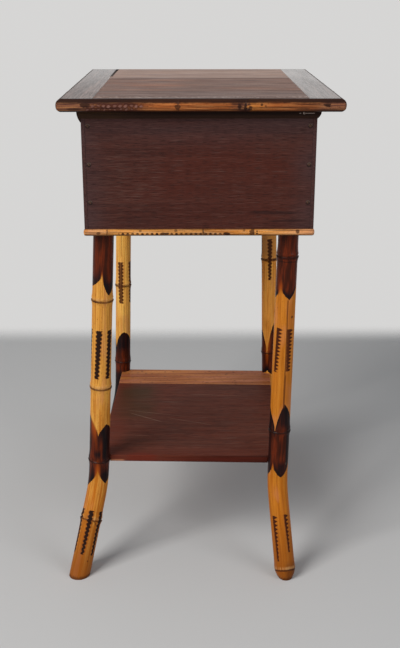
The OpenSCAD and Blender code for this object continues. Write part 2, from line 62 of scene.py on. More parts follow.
class Socket:
    """One output in a finish's node tree. Arithmetic on it adds Math nodes."""

    __add__, __radd__ = maths("ADD"), maths("ADD", reflected=True)
    __sub__, __rsub__ = maths("SUBTRACT"), maths("SUBTRACT", reflected=True)
    __mul__, __rmul__ = maths("MULTIPLY"), maths("MULTIPLY", reflected=True)
    __truediv__, __rtruediv__ = maths("DIVIDE"), maths("DIVIDE", reflected=True)
    size = maths("ABSOLUTE")
    sine = maths("SINE")
    least = maths("MINIMUM")
    most = maths("MAXIMUM")
    raised = maths("POWER")
    turned = maths("ARCTAN2")
    folded = maths("WRAP")
    scaled = maths("MULTIPLY", "ShaderNodeVectorMath")
    moved = maths("ADD", "ShaderNodeVectorMath")

    def __init__(self, finish, output):
        self.finish = finish
        self.output = output

    def step(self, low, high):
        """0 before low and 1 past high, with a soft change between."""
        soft = {"interpolation_type": "SMOOTHSTEP"}
        return self.finish.node("ShaderNodeMapRange", soft, {0: self, 1: low, 2: high})

    def near(self, place, wide, full):
        """1 where the number is within full of place, and 0 where it is further off than wide."""
        return (self - place).size().step(wide, full)

    def within(self, start, end, before, after):
        """1 between start and end. The change begins this far before, and ends this far after."""
        return self.step(start - before, start + after) * self.step(end + before, end - after)

    def wrapped(self, step):
        """The number folded into the span from -step / 2 to step / 2."""
        return self.folded(step / 2, -step / 2)

    def part(self, axis):
        return self.finish.node("ShaderNodeSeparateXYZ", {}, [self], axis)


class Finish:
    """A material, or the world, made of short expressions. Lengths in it are in millimetres."""

    def __init__(self, name, world=None):
        self.material = world or bpy.data.materials.new(name)
        self.material.use_nodes = True
        self.tree = self.material.node_tree
        self.shader = self.tree.nodes["Background" if world else "Principled BSDF"]
        self.at = self.node("ShaderNodeTexCoord", {}, {}, "Object").scaled((1 / MM, 1 / MM, 1 / MM))
        self.x, self.y, self.z = (self.at.part(axis) for axis in "XYZ")
        self.colour = None

    def plug(self, socket, value):
        if isinstance(value, Socket):
            self.tree.links.new(value.output, socket)
        elif socket.type == "RGBA":
            socket.default_value = (*value, 1)
        else:
            socket.default_value = value

    def node(self, kind, settings=(), values=(), out=0):
        """Adds a node, makes its settings, fills its inputs and gives the output asked for."""
        made = self.tree.nodes.new(kind)
        for name, value in dict(settings).items():
            if name == "points":
                curve = made.mapping.curves[0]
                for x, y in value[1:-1]:
                    curve.points.new(x, y)
                for point, place in zip(curve.points, value):
                    point.location = place
                    point.handle_type = "VECTOR"
                made.mapping.update()
            elif name == "stops":
                ramp = made.color_ramp
                ramp.elements[0].position = value[0][0]
                ramp.elements[1].position = value[-1][0]
                for place, _ in value[1:-1]:
                    ramp.elements.new(place)
                for element, (_, colour) in zip(ramp.elements, value):
                    element.color = (*colour, 1)
            else:
                setattr(made, name, value)
        pairs = values.items() if isinstance(values, dict) else enumerate(values)
        for key, value in pairs:
            self.plug(made.inputs[key], value)
        return Socket(self, made.outputs[out])

    def mix(self, share, low, high):
        """A colour that goes from low to high with share."""
        return self.node("ShaderNodeMix", {"data_type": "RGBA"}, {0: share, 6: low, 7: high}, 2)

    def over(self, share, colour):
        """Lays a colour over the finish's own."""
        self.colour = self.mix(share, self.colour, colour)

    def cloud(self, at, size, detail=2.0):
        """Cloudy change from 0 to 1 in patches of this size along X, Y and Z."""
        where = at.scaled([1 / s for s in size])
        inputs = {"Vector": where, "Scale": 1.0, "Detail": detail}
        return self.node("ShaderNodeTexNoise", {}, inputs).step(0.28, 0.72)

    def ramp(self, share, stops):
        return self.node("ShaderNodeValToRGB", {"stops": stops}, [share])

    def worn_edge(self):
        """1 on the eased edges of a board, where its normal leans between two faces."""
        turn = self.node("ShaderNodeTexCoord", {}, {}, "Normal")
        lean = turn.part("X").size().most(turn.part("Y").size()).most(turn.part("Z").size())
        return lean.step(0.985, 0.86)

    def skin(self, rough, height=None, depth=0.1, gloss=0.3, coat=0.0, metal=0.0):
        """Joins colour, roughness and relief, depth millimetres deep, to the shader."""
        inputs = self.shader.inputs
        self.plug(inputs["Base Color"], self.colour)
        self.plug(inputs["Roughness"], rough)
        inputs["Specular IOR Level"].default_value = gloss
        self.plug(inputs["Coat Weight"], coat)
        inputs["Coat Roughness"].default_value = 0.13
        inputs["Metallic"].default_value = metal
        if height is not None:
            bump = {"Strength": 1.0, "Distance": depth * MM, "Height": height}
            self.plug(inputs["Normal"], self.node("ShaderNodeBump", {}, bump))


def grained(name, along, *shift):
    """A finish for a board with its grain along X (0) or Y (1), and a function that makes grain
    in it. The shift keeps two boards from looking the same."""
    f = Finish(name)
    f.place = f.at.moved(shift)

    def grain(length, width, height, detail):
        size = [width, width, height]
        size[along] = length
        return f.cloud(f.place, size, detail)

    return f, grain


def most(found, new):
    """The stronger of two masks, of which the first may not be there yet."""
    return new if found is None else found.most(new)


def dimmed(colour, *shares):
    """A colour times one share, or times one for each channel."""
    return [c * k for c, k in zip(colour, shares * 3 if len(shares) == 1 else shares)]


def leave_all():
    bpy.ops.object.select_all(action="DESELECT")


def mode(word):
    bpy.ops.object.mode_set(mode=word)


def pick(action="SELECT", of=None):
    """Selects all of the mesh or nothing, in this mode (VERT, EDGE or FACE) from now on."""
    if of:
        bpy.ops.mesh.select_mode(type=of)
    bpy.ops.mesh.select_all(action=action)


def extrude(by):
    bpy.ops.mesh.extrude_region_move(TRANSFORM_OT_translate={"value": by})


def saw(place, way, fill=True):
    """Cuts off what lies beyond the plane through this place that faces this way."""
    pick()
    bpy.ops.mesh.bisect(plane_co=place, plane_no=way, use_fill=fill, clear_outer=True)


def stand_for(piece, node, body="box_and_stand"):
    """The piece is shown in place of this CAD node, and moves with this body."""
    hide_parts(node)
    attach(piece, body)


def edges_where(thing, wanted):
    """In edit mode, selects the edges that wanted says yes to."""
    mesh = bmesh.from_edit_mesh(thing.data)
    pick("DESELECT", "EDGE")
    for edge in mesh.edges:
        edge.select_set(bool(wanted(edge)))
    bmesh.update_edit_mesh(thing.data)


def long_corner(edge):
    turned = len(edge.link_faces) == 2 and edge.calc_face_angle() > math.radians(50)
    return turned and edge.calc_length() > 3 * MM


def bevel(width):
    bpy.ops.mesh.bevel(offset=width * MM, segments=3, affect="EDGES", clamp_overlap=False)


def finished(angle):
    """Leaves edit mode, with edges sharper than this many degrees kept sharp."""
    mode("OBJECT")
    bpy.ops.object.shade_smooth_by_angle(angle=math.radians(angle))


def paint(thing, *finishes):
    thing.data.materials.clear()
    for finish in finishes:
        thing.data.materials.append(finish.material)


def dress(finish, *nodes):
    """Gives CAD nodes that stay as they are their finish."""
    for node in nodes:
        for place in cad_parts[node].material_slots:
            place.material = finish.material


def eased_board(name, node, finish, ease=0.5, body="box_and_stand"):
    """A copy of a sawn board whose long edges are rounded over by ease millimetres."""
    board = bpy.data.objects.new(name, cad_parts[node].data.copy())
    bpy.context.scene.collection.objects.link(board)
    leave_all()
    board.select_set(True)
    bpy.context.view_layer.objects.active = board
    mode("EDIT")
    pick()
    bpy.ops.mesh.remove_doubles(threshold=0.01 * MM)
    bpy.ops.mesh.dissolve_limited(angle_limit=math.radians(0.5))
    edges_where(board, long_corner)
    bevel(ease)
    finished(32)
    level = board.modifiers.new("level", "WEIGHTED_NORMAL")
    level.keep_sharp = True
    bpy.ops.object.modifier_apply(modifier=level.name)
    stand_for(board, node, body)
    paint(board, finish)


front_low, front_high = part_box("end_front")
MID_X = (front_low.x + front_high.x) / 2 / MM
BOX_Z = front_low.z / MM
RIM_Z = front_high.z / MM
HALF_IN_X, HALF_IN_Y = 136, 186  # from the middle of the box to the inside of its walls


def stained_wall(name, along, seed, streaks, scuffs):
    """Mahogany stain on pine, and bare wood inside the box. streaks are dark lines (from, to,
    height, half width), and scuffs is the patch (middle, half, middle, half) that is rubbed."""
    f, grain = grained(name, along, seed * 37, seed * 53, seed * 11)
    course = f.y if along else f.x - MID_X
    up = f.z
    broad = grain(210, 60, 30, 2)
    figure = grain(150, 7, 4.2, 4)
    fibre = grain(64, 1.6, 1.15, 3)
    pore = grain(11, 0.9, 0.55, 1)
    hair = grain(26, 1.2, 0.7, 1)
    f.colour = f.mix(figure * 0.55 + fibre * 0.45, (0.033, 0.01, 0.0082), (0.085, 0.027, 0.0195))
    # The stain is reddest low in the middle. The grey towards the top and the edges is painted
    # sheen, and on the eased edges it is also real wear
    heart = ((course - 30) / 120).raised(2) + ((up - 566) / 62).raised(2)
    f.over(heart.step(1.5, 0.1) * (0.35 + 0.4 * broad), (0.076, 0.0165, 0.0098))
    painted_sheen_and_wear = course.size().step(104 + 50 * along, 150 + 46 * along)
    painted_sheen_and_wear = up.step(RIM_Z - 58, RIM_Z - 6).most(painted_sheen_and_wear)
    painted_sheen_and_wear = painted_sheen_and_wear * (0.3 + 0.45 * broad) + f.worn_edge() * 0.35
    f.over(painted_sheen_and_wear, (0.062, 0.0345, 0.035))
    f.over(pore.step(0.6, 0.92) * 0.55, (0.013, 0.0048, 0.0042))
    f.over(hair.step(0.8, 1.0) * 0.4, (0.135, 0.07, 0.058))
    for start, end, height, half in streaks:
        dark = (up - height + 2.2 * figure).near(1.1, half, half * 0.3)
        dark = dark * course.step(start - 6, start + 12) * course.step(end + 6, end - 18)
        f.over(dark * (0.35 + 0.4 * fibre), (0.015, 0.007, 0.0072))
    x0, half_x, z0, half_z = scuffs
    patch = course.near(x0, half_x, half_x * 0.5) * up.near(z0, half_z, half_z * 0.5)
    rubbed = grain(22, 3, 0.75, 2).step(0.6, 0.9) * patch
    f.over(rubbed * 0.3, (0.15, 0.08, 0.064))
    # Rust from the nails has blackened the wood round their heads
    if not along:
        for nail_x in NAIL_X:
            for nail_z in NAIL_Z:
                d = (f.x - nail_x).raised(2) + (up - nail_z).raised(2)
                f.over(d.step(16, 5) * 0.75, (0.011, 0.0065, 0.006))
                # A pale crescent just above each head is a painted highlight
                rim = d.step(3.4, 5.2) * d.step(9.5, 6.5) * (up - nail_z).step(-0.4, 1.2)
                f.over(rim * 0.5, (0.19, 0.13, 0.1))
    inside = f.x.near(MID_X, HALF_IN_X + 0.4, HALF_IN_X + 0.2)
    inside = inside * f.y.near(0, HALF_IN_Y + 0.4, HALF_IN_Y + 0.2)
    bare = f.mix(figure, (0.25, 0.115, 0.045), (0.4, 0.215, 0.095))
    bare = f.mix(fibre * 0.3, bare, (0.16, 0.07, 0.03))
    rough = 0.38 + 0.18 * fibre + 0.22 * inside
    relief = figure * 0.3 + fibre * 0.7 - pore.step(0.6, 0.92) * 0.6
    f.over(inside, bare)
    f.skin(rough, relief, 0.12, gloss=0.09)
    return f


NAIL_X = (-135.9, 143.1)
NAIL_Z = (543.0, 591.6, 640.2)
for name, node, along, *look in (
    ("front", "end_front", 0, 1, ((62, 132, 530, 2.6), (88, 140, 519, 1.8)), (-88, 48, 572, 44)),
    ("back", "end_back", 0, 2, ((-120, -30, 602, 2.2), (20, 90, 548, 2.0)), (60, 60, 600, 40)),
    ("left", "side_left", 1, 3, ((-150, -40, 585, 2.4), (60, 170, 536, 2.0)), (-60, 90, 596, 40)),
    ("right", "side_right", 1, 4, ((-90, 30, 556, 2.4), (70, 180, 610, 2.0)), (100, 80, 560, 40)),
):
    finish = stained_wall(name + "_board_stain", along, *look)
    eased_board(name + "_board", node, finish, 0.7)


# ---- Bottom board and the nails of the box ----
# An unstained pine board under the walls, nailed up into them from below. The end boards are
# nailed into the sides through their edges. The cut iron nails have darkened and are rust-brown
# round their heads.
def bare_wood(name, along, seed, pale=(0.42, 0.235, 0.105), deep=(0.26, 0.125, 0.048)):
    f, grain = grained(name, along, seed * 31, seed * 47, seed * 13)
    figure = grain(70, 5, 5, 4)
    fibre = grain(22, 0.8, 0.8, 2)
    f.colour = f.mix(figure, deep, pale)
    f.over(fibre * 0.35, dimmed(deep, 0.55))
    f.over(f.worn_edge() * 0.35, dimmed(deep, 0.6))
    stained = f.cloud(f.place, (45, 45, 45), 3).step(0.6, 1.0)
    f.over(stained * 0.4, dimmed(deep, 0.5))
    f.skin(0.55 + 0.2 * fibre, figure * 0.4 - fibre * 0.6, 0.12, gloss=0.3)
    return f


eased_board("bottom_plank", "bottom_board", bare_wood("bottom_pine", 1, 1))

iron = Finish("nail_iron")
rust = iron.cloud(iron.at, (1.3, 1.3, 1.3), 4)
iron.colour = iron.mix(rust, (0.03, 0.022, 0.02), (0.115, 0.052, 0.026))
iron.skin(0.42 + 0.3 * rust, rust, 0.08, metal=0.6)
dress(iron, "box_nails", "bottom_nails")


# ---- Split bamboo round the foot of the box ----
# Four slices of a thin culm, flat at the back, glued and pinned over the edge of the bottom
# board. Each is mitred at its ends, its corners are rubbed round, and its joints still stand
# out. Rows of dots and patches were burnt into it with a hot iron.
JOINT_RING = (
    (-15, 0), (-10, 0.25), (-7, 0.5), (-5.2, 0.85), (-4, 1.1), (-3, 0.85), (-2.2, 0.5),
    (-1.5, 0.45), (-0.9, 0.7), (-0.4, 1.3), (0, 1.6), (0.8, 1.55), (1.6, 1.2), (3, 0.75),
    (5, 0.4), (7.5, 0.15), (10, 0),
)
SIDES = ("front", "right", "back", "left")
SECTION = 56  # sides of the circle that a slice is sawn from
SLICE_PACE = 7  # between two rings of it
SAWN_OFF = 0.25  # what the saw takes off above and below
CORNER = 6  # radius to which its corners are rubbed


def swelling(along, joints, scale, ring=JOINT_RING):
    """How far the culm stands out at a place along it, in millimetres."""
    out = 0
    for joint in joints:
        d = (along - joint) / scale
        for (d0, s0), (d1, s1) in zip(ring, ring[1:]):
            if d0 <= d <= d1:
                out = (s0 + (s1 - s0) * (d - d0) / (d1 - d0)) * scale
        if d > ring[-1][0] and ring[-1][1]:
            out = ring[-1][1] * scale
    return out


def places_along(first, last, pace, joints, scale, ring=JOINT_RING):
    """Where the rings of a culm lie: evenly, and close together at its joints."""
    near = [joint + d * scale for joint in joints for d, _ in ring]
    count = math.ceil((last - first) / pace)
    even = [first + (last - first) * n / count for n in range(count + 1)]
    kept = [a for a in even if all(abs(a - b) > 0.6 * pace * scale for b in near)]
    return sorted(a for a in {*kept, *near, first, last} if first <= a <= last)


def split_culm(name, side, middle, plan, low, height, depths, joints, swell, wave, stub=0):
    """A slice of culm along one side of a plan of these two sizes, mitred and rubbed round.
    depths is how far the slices stand out at the front and back, and at the sides, and stub is
    the radius to which the ends are rounded as seen from the front."""
    run = plan[side % 2]
    out, beside = depths[side % 2], depths[1 - side % 2]
    half = height / 2 + SAWN_OFF
    radius = (half * half + out * out) / (2 * out)
    joints = [share * run - run / 2 for share in joints]
    ends = run / 2 + max(depths) + 1
    leave_all()
    bpy.ops.mesh.primitive_circle_add(
        vertices=SECTION,
        radius=radius * MM,
        fill_type="NGON",
        location=(-ends * MM, (radius - out) * MM, height / 2 * MM),
        rotation=(0, math.pi / 2, 0),
    )
    slice_ = bpy.context.object
    slice_.name = name
    bpy.ops.object.transform_apply()
    mode("EDIT")
    for level, way in ((0, (0, 1, 0)), (0, (0, 0, -1)), (height * MM, (0, 0, 1))):
        saw((0, 0, level), way, fill=False)
    pick(of="FACE")
    places = places_along(-ends, ends, SLICE_PACE, joints, swell * 0.5)
    full = 1.0
    for before, place in zip(places, places[1:]):
        extrude(((place - before) * MM, 0, 0))
        fuller = 1 + swelling(place, joints, swell * 0.5) / out + 0.02 * math.sin(place / 17 + wave)
        bpy.ops.transform.resize(value=(1, fuller / full, 1), center_override=(0, 0, 0))
        full = fuller
    # Each end is mitred, and small cuts round off its corner, and the end as seen from the front
    for end in (-1, 1):
        cuts = [((end * run / 2 * MM, 0, 0), (end * out, beside, 0))]
        corner = Vector((end * (run / 2 + beside - CORNER), CORNER - out, 0))
        for lean in range(9, 64, 9):
            a = math.radians(lean)
            normal = Vector((end * math.sin(a), -math.cos(a), 0))
            cuts.append(((corner + normal * CORNER * 1.1) * MM, normal))
        for lean in range(15, 90, 15) if stub else ():
            a = math.radians(lean)
            for way, turn in ((-1, stub), (1, stub * 0.7)):
                normal = Vector((end * math.sin(a), 0, way * math.cos(a)))
                level = turn if way < 0 else height - turn
                corner = Vector((end * (run / 2 + beside - turn), 0, level))
                cuts.append(((corner + normal * turn) * MM, normal))
        for cut in cuts:
            saw(*cut)
    pick()
    bpy.ops.mesh.remove_doubles(threshold=0.01 * MM)
    bpy.ops.mesh.normals_make_consistent(inside=False)
    finished(35)
    course = slice_.data.attributes.new("course", "FLOAT_VECTOR", "POINT")
    for vertex, entry in zip(slice_.data.vertices, course.data):
        entry.vector = (vertex.co.x / MM + run / 2, -vertex.co.y / MM, vertex.co.z / MM)
    turn = Matrix.Rotation(math.pi / 2 * side, 4, "Z")
    reach = plan[1 - side % 2] / 2
    to_side = Matrix.Translation((0, -reach * MM, low * MM))
    slice_.matrix_world = Matrix.Translation((middle * MM, 0, 0)) @ turn @ to_side
    bpy.ops.object.transform_apply()
    return slice_


def split_bamboo(
    name, run, height, tones, joints, burns, dots, seed, dark, flash, shade, chains=()
):
    """Skin along a slice. tones are colours along it, burns are (place, half length, height, half
    height, strength), dots are rows of burnt dots (from, to, height, pitch, radius), and chains the
    same of pale dots. shade is how dark and how wide the painted shade on the lower and upper edge
    is."""
    f = Finish(name)
    course = f.node("ShaderNodeAttribute", {"attribute_name": "course"}, {}, "Vector")
    along, up = course.part("X"), course.part("Z")
    p = course.moved((seed * 91, seed * 17, seed * 29))
    fibre = f.cloud(p, (34, 1.0, 0.7), 2)
    streak = f.cloud(p, (70, 3, 2.2), 3)
    blotch = f.cloud(p, (9, 4, 3.4), 3)
    speck = f.cloud(p, (1.6, 1.2, 1.1), 1)
    f.colour = f.ramp(along / run + 0.03 * blotch - 0.015, tones)
    f.over(streak.step(0.25, 1.0) * 0.8, f.mix(0.75, f.colour, dark))
    f.over(fibre.step(0.45, 1.0) * 0.6, f.mix(0.8, f.colour, dark))
    f.over((1 - fibre).step(0.55, 1.0) * 0.5, flash)
    f.over(speck.step(0.86, 1.0) * 0.45, dark)
    # The darker lower and upper edges of the round slice are painted shade; the burns, joints and
    # dots laid into the same mask below are real marks
    low_painted_shade, low_reach, high_painted_shade, high_start = shade
    burnt = up.step(height * low_reach, height * low_reach * 0.2) * low_painted_shade
    upper = (up + 0.9 * blotch).step(height * high_start, height * (high_start + 0.2))
    burnt = burnt.most(upper * high_painted_shade)
    for place, half, level, tall, strength in burns:
        d = ((along - place) / half).raised(2) + ((up - level) / tall).raised(2)
        burnt = burnt.most((d + 1.2 * blotch - 0.6).step(1.25, 0.65) * strength)
    for joint in joints:
        d = (along - joint * run + 0.9 * blotch).size()
        burnt = burnt.most(d.step(1.3, 0.4) * (0.55 + 0.4 * blotch))
    for start, end, level, pitch, radius in dots:
        inside = along.within(start, end, 0, 1)
        reach = (along - start).wrapped(pitch)
        d = (reach * reach + (up - level) * (up - level)).raised(0.5)
        burnt = burnt.most(d.step(radius + 0.35, radius - 0.35) * inside * (0.72 + 0.28 * blotch))
    f.over(burnt, dark)
    for start, end, level, pitch, radius in chains:
        uneven = f.cloud(course, (9, 5, 3), 2)
        inside = along.within(start, end, 0, 6)
        reach = (along - start + 2.2 * uneven).wrapped(pitch) / 1.5
        drop = up - level + 1.6 * uneven - 0.8
        d = (reach * reach + drop * drop).raised(0.5)
        f.over(d.step(radius + 1.8, radius + 0.2) * inside * 0.75, (0.052, 0.012, 0.007))
        pale = d.step(radius + 0.3, radius - 0.6) * inside
        f.over(pale * (0.35 + 0.45 * uneven), (0.27, 0.13, 0.1))
    f.skin(0.3 + 0.15 * fibre, streak * 0.3 + fibre * 0.3 - burnt * 0.4, 0.14, gloss=0.06, coat=0.1)
    return f


HONEY = (0.8, 0.335, 0.075)
AMBER = (0.66, 0.215, 0.03)
ROSE = (0.8, 0.35, 0.15)
WALL_PLAN = (296, 394)
BASE_LOW = BOX_Z - 8
BASE_T = 8.5
BASE_OUT = (4.5, 1.2)
BASE_SWELL = (1, 0.4)  # the joints of the thin pieces at the sides stand out less
BASE_STUB = (4.4, 0)
BASE_JOINTS = ((0.1, 0.52, 0.74), (0.2, 0.55, 0.85), (0.3, 0.72), (0.15, 0.5, 0.8))
BASE_INK = (0.03, 0.0085, 0.004)
BASE_FLASH = (0.8, 0.46, 0.22)
BASE_SHADE = (0.8, 0.4, 0.45, 0.88)
BASE_TONES = (
    (0, AMBER), (0.03, ROSE), (0.12, HONEY), (0.5, HONEY), (0.6, AMBER), (0.8, HONEY), (1, ROSE),
)
BASE_BURNS = (
    (
        (102, 6.5, 2.6, 3, 0.9), (184, 5, 2.3, 2.4, 0.95), (18, 2.5, 4.2, 2.2, 0.7),
        (217, 3, 4.4, 5, 0.85), (275, 3.2, 5.6, 2.4, 0.8), (118, 2, 6.8, 1.6, 0.6),
        (72, 1.8, 7, 1.4, 0.6), (206, 1.8, 7.2, 1.5, 0.6),
    ),
    ((60, 6, 3, 3, 0.8), (200, 7, 3, 3.4, 0.9), (330, 4, 4, 3, 0.8)),
    ((90, 6, 3, 3, 0.9), (190, 4, 4, 3, 0.8), (260, 5, 3, 3, 0.9)),
    ((40, 5, 3, 3, 0.8), (150, 6, 4, 3, 0.8), (300, 6, 3, 3, 0.9)),
)
BASE_DOTS = (
    ((43.4, 182, 2.5, 6.28, 2.0), (209, 225, 3.4, 4.6, 1.2), (209, 225, 6.4, 4.6, 1.1)),
    ((110, 190, 2.7, 5.6, 1.9), (250, 320, 2.7, 5.6, 1.9)),
    ((20, 84, 2.7, 5.6, 1.9), (120, 220, 2.7, 5.6, 1.9)),
    ((60, 140, 2.7, 5.6, 1.9), (210, 290, 2.7, 5.6, 1.9)),
)
for side, word in enumerate(SIDES):
    run = WALL_PLAN[side % 2]
    piece = split_culm(
        "base_bamboo_" + word, side, MID_X, WALL_PLAN, BASE_LOW, BASE_T, BASE_OUT,
        BASE_JOINTS[side], BASE_SWELL[side % 2], side, BASE_STUB[side % 2],
    )
    skin = split_bamboo(
        "base_bamboo_skin_" + word, run, BASE_T, BASE_TONES, BASE_JOINTS[side], BASE_BURNS[side],
        BASE_DOTS[side], side + 1, BASE_INK, BASE_FLASH, BASE_SHADE,
    )
    paint(piece, skin)
    stand_for(piece, "base_trim_" + word)


# ---- Bead under the lid ----
# A thin quarter-round moulding of soft wood, lacquered black and nailed round the top of the walls.
# It is deeper on the left side. Towards the left its black is painted lighter olive-brown: painted
# light, where light from the left reaches under the lid.
bead = Finish("bead_black_lacquer")
rubbed = bead.cloud(bead.at, (38, 38, 2.0), 3).step(0.45, 0.95)
# Painted light: the black turns olive-brown towards the left, where light from the left reaches
# under the lid
painted_light_left = bead.x.step(-58, -118) * (0.55 + 0.45 * rubbed)
bead.colour = bead.mix(rubbed * 0.35, (0.0125, 0.005, 0.0036), (0.03, 0.011, 0.0068))
bead.over(painted_light_left * 0.6, (0.052, 0.026, 0.011))
bead.over(bead.worn_edge() * 0.25, (0.08, 0.04, 0.026))
# Pale marks near the right end: a long thin line, a short upright tick and a small dash
for place, half, tall in ((141.0, 6.5, 0.4), (134.8, 0.6, 1.5), (130.6, 1.0, 0.4)):
    pale_mark = (bead.x + 1.5 * rubbed).near(place, half + 0.4, half - 0.3)
    pale_mark = pale_mark * bead.z.near(RIM_Z - 3.6, tall + 0.3, tall - 0.2)
    bead.over(pale_mark * bead.y.step(-190, -196) * 0.75, (0.38, 0.3, 0.26))
brush = bead.cloud(bead.at, (20, 20, 1.2), 3)
bead.skin(0.3 + 0.25 * rubbed, brush, 0.15, gloss=0.05)
for word in SIDES:
    eased_board("bead_" + word, "rim_bead_" + word, bead, 0.25)


# ---- Runners and tray ----
# Two square strips are glued to the inside of the walls. On them slides a shallow tray of thin
# boards: its ends and partitions stand in grooves, and the partitions are halved into each other.
runner_wood = bare_wood("runner_wood", 1, 5)
for word in ("left", "right"):
    eased_board("slide_" + word, "runner_" + word, runner_wood)

TRAY_TONES = ((0.5, 0.3, 0.145), (0.34, 0.175, 0.072))
tray_long = bare_wood("tray_wood_lengthways", 1, 7, *TRAY_TONES)
tray_cross = bare_wood("tray_wood_crossways", 0, 8, *TRAY_TONES)
for name, node, wood in (
    ("tray_wall_left", "tray_side_left", tray_long),
    ("tray_wall_right", "tray_side_right", tray_long),
    ("tray_wall_front", "tray_end_front", tray_cross),
    ("tray_wall_back", "tray_end_back", tray_cross),
    ("tray_floor", "tray_bottom", tray_long),
    ("tray_divider_cross", "tray_partition_cross", tray_cross),
    ("tray_divider_left", "tray_partition_left", tray_long),
    ("tray_divider_right", "tray_partition_right", tray_long),
):
    eased_board(name, node, wood, body="tray")


# ---- Hinges ----
# Two plain brass butt hinges, let into the right wall and the lid and held by countersunk brass
# screws. The brass has gone brown in patches, with brighter brass between.
brass = Finish("hinge_brass")
tarnish = brass.cloud(brass.at, (5, 5, 5), 4)
scratch = brass.cloud(brass.at, (0.4, 9, 0.4), 2)
brass.colour = brass.mix(tarnish, (0.56, 0.37, 0.13), (0.2, 0.115, 0.045))
brass.skin(0.3 + 0.3 * tarnish, scratch, 0.03, metal=1.0)
dress(
    brass, "hinge_leaves_box", "hinge_leaves_lid", "hinge_pins", "hinge_screws_box",
    "hinge_screws_lid",
)


# ---- Lid ----
# Three boards lie side by side with their grain across the box, tongued into a cleat at each
# end. All are finished with dark lacquer that has worn along the grain and at the front edge.
# The back board has shrunk away from the left cleat.
def lacquered(name, along, seed, deep, pale, flash, share, gloss, coat):
    """Worn lacquer on a board with its grain along X (0) or Y (1). share says how much of the
    flash colour shows in it as streaks."""
    f, grain = grained(name, along, seed * 41, seed * 23, seed * 7)
    x, y = f.x - MID_X, f.y
    broad = grain(190, 40, 40, 2)
    figure = grain(130, 11, 6, 4)
    veins = grain(170, 4.2, 4, 3)
    fibre = grain(46, 1.7, 1.2, 3)
    speck = f.cloud(f.place, (2.4, 2.4, 2.4), 1)
    f.colour = f.mix(figure * 0.65 + broad * 0.35, deep, pale)
    f.over(veins.step(1 - share, 1.0) * 0.85, flash)
    f.over(fibre.step(0.42, 1.0) * 0.6, dimmed(deep, 0.4))
    f.over((1 - fibre).step(0.7, 1.0) * 0.3, flash)
    f.over(speck.step(0.88, 1.0) * 0.35, (0.38, 0.27, 0.22))
    if not along:
        # Dark lines of dirt beside the joints of the boards, and pale knocks along the front
        for joint in LID_SEAMS:
            dirt = (y + 1.4 * veins).near(joint, 7, 1)
            f.over(dirt * (0.35 + 0.45 * broad), dimmed(deep, 0.3))
        glow = ((x + 62) / 46).raised(2) + ((y + 58) / 26).raised(2)
        f.over(glow.step(1.3, 0.2) * veins.step(0.3, 0.9) * 0.7, (0.4, 0.12, 0.035))
    upper = f.z.step(RIM_Z + 8, RIM_Z + 10)
    front = y.step(LID_FRONT + 7, LID_FRONT + 2) * upper
    f.over(front * 0.9, (0.016, 0.0075, 0.0065))
    # The open joint where the back board has shrunk away is painted near-black: painted shade in
    # the gap
    painted_gap_shade = f.x.near(SLOT_X + 0.4, 2.5, 1.5) * y.step(LID_SEAMS[0] + 10, LID_SEAMS[0] + 40)
    f.over(painted_gap_shade * 0.95, (0.006, 0.0045, 0.0045))
    chips = f.cloud(f.place, (4.6, 3.0, 9), 1).step(0.6, 0.86) * y.near(LID_FRONT + 17, 7, 4.5)
    chips = chips * x.size().step(152, 140) * upper
    f.over(chips * 0.8, (0.5, 0.37, 0.32))
    f.over(f.worn_edge() * 0.45, flash)
    # The underside is bare, and only oiled
    under = f.z.step(RIM_Z + 1.6, RIM_Z + 0.8)
    oiled = f.mix(figure * 0.7 + 0.3 * veins, (0.165, 0.07, 0.026), (0.34, 0.17, 0.07))
    f.over(under, f.mix(fibre * 0.35, oiled, (0.11, 0.045, 0.018)))
    rough = 0.32 + 0.2 * fibre + 0.12 * figure + 0.16 * under + painted_gap_shade
    if along:
        near, rise = coat
        coat = (near * (0.75 + 0.5 * figure) + rise * y.step(-200, 200)) * upper * (1 - painted_gap_shade)
    f.skin(rough, figure * 0.4 + fibre * 0.5 - chips, 0.14, gloss=gloss, coat=coat)
    return f


LID_SEAMS = (60.0, -125.0)
LID_FRONT = -216.0
SLOT_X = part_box("lid_cleat_left")[1].x / MM
for name, node, along, seed, *look in (
    (
        "lid_plank_front", "lid_board_front", 0, 11,
        (0.075, 0.03, 0.021), (0.185, 0.092, 0.066), (0.3, 0.145, 0.095), 0.45, 0.22, 0.0,
    ),
    (
        "lid_plank_middle", "lid_board_middle", 0, 12,
        (0.085, 0.03, 0.018), (0.215, 0.098, 0.062), (0.4, 0.165, 0.085), 0.5, 0.2, 0.0,
    ),
    # The back board is the same lacquer as the others; its paler colours are painted sheen
    (
        "lid_plank_back", "lid_board_back", 0, 13,
        (0.18, 0.078, 0.05), (0.4, 0.224, 0.156), (0.55, 0.32, 0.22), 0.55, 0.8, 0.0,
    ),
    (
        "lid_clamp_left", "lid_cleat_left", 1, 14,
        (0.038, 0.017, 0.013), (0.125, 0.066, 0.054), (0.24, 0.15, 0.125), 0.45, 0.6, (0.235, 0.47),
    ),
    (
        "lid_clamp_right", "lid_cleat_right", 1, 15,
        (0.045, 0.02, 0.016), (0.13, 0.075, 0.06), (0.23, 0.145, 0.118), 0.4, 0.85, (0.6, 0.27),
    ),
):
    finish = lacquered(node.replace("lid", "lid_lacquer"), along, seed, *look)
    eased_board(name, node, finish, 0.8, "lid")


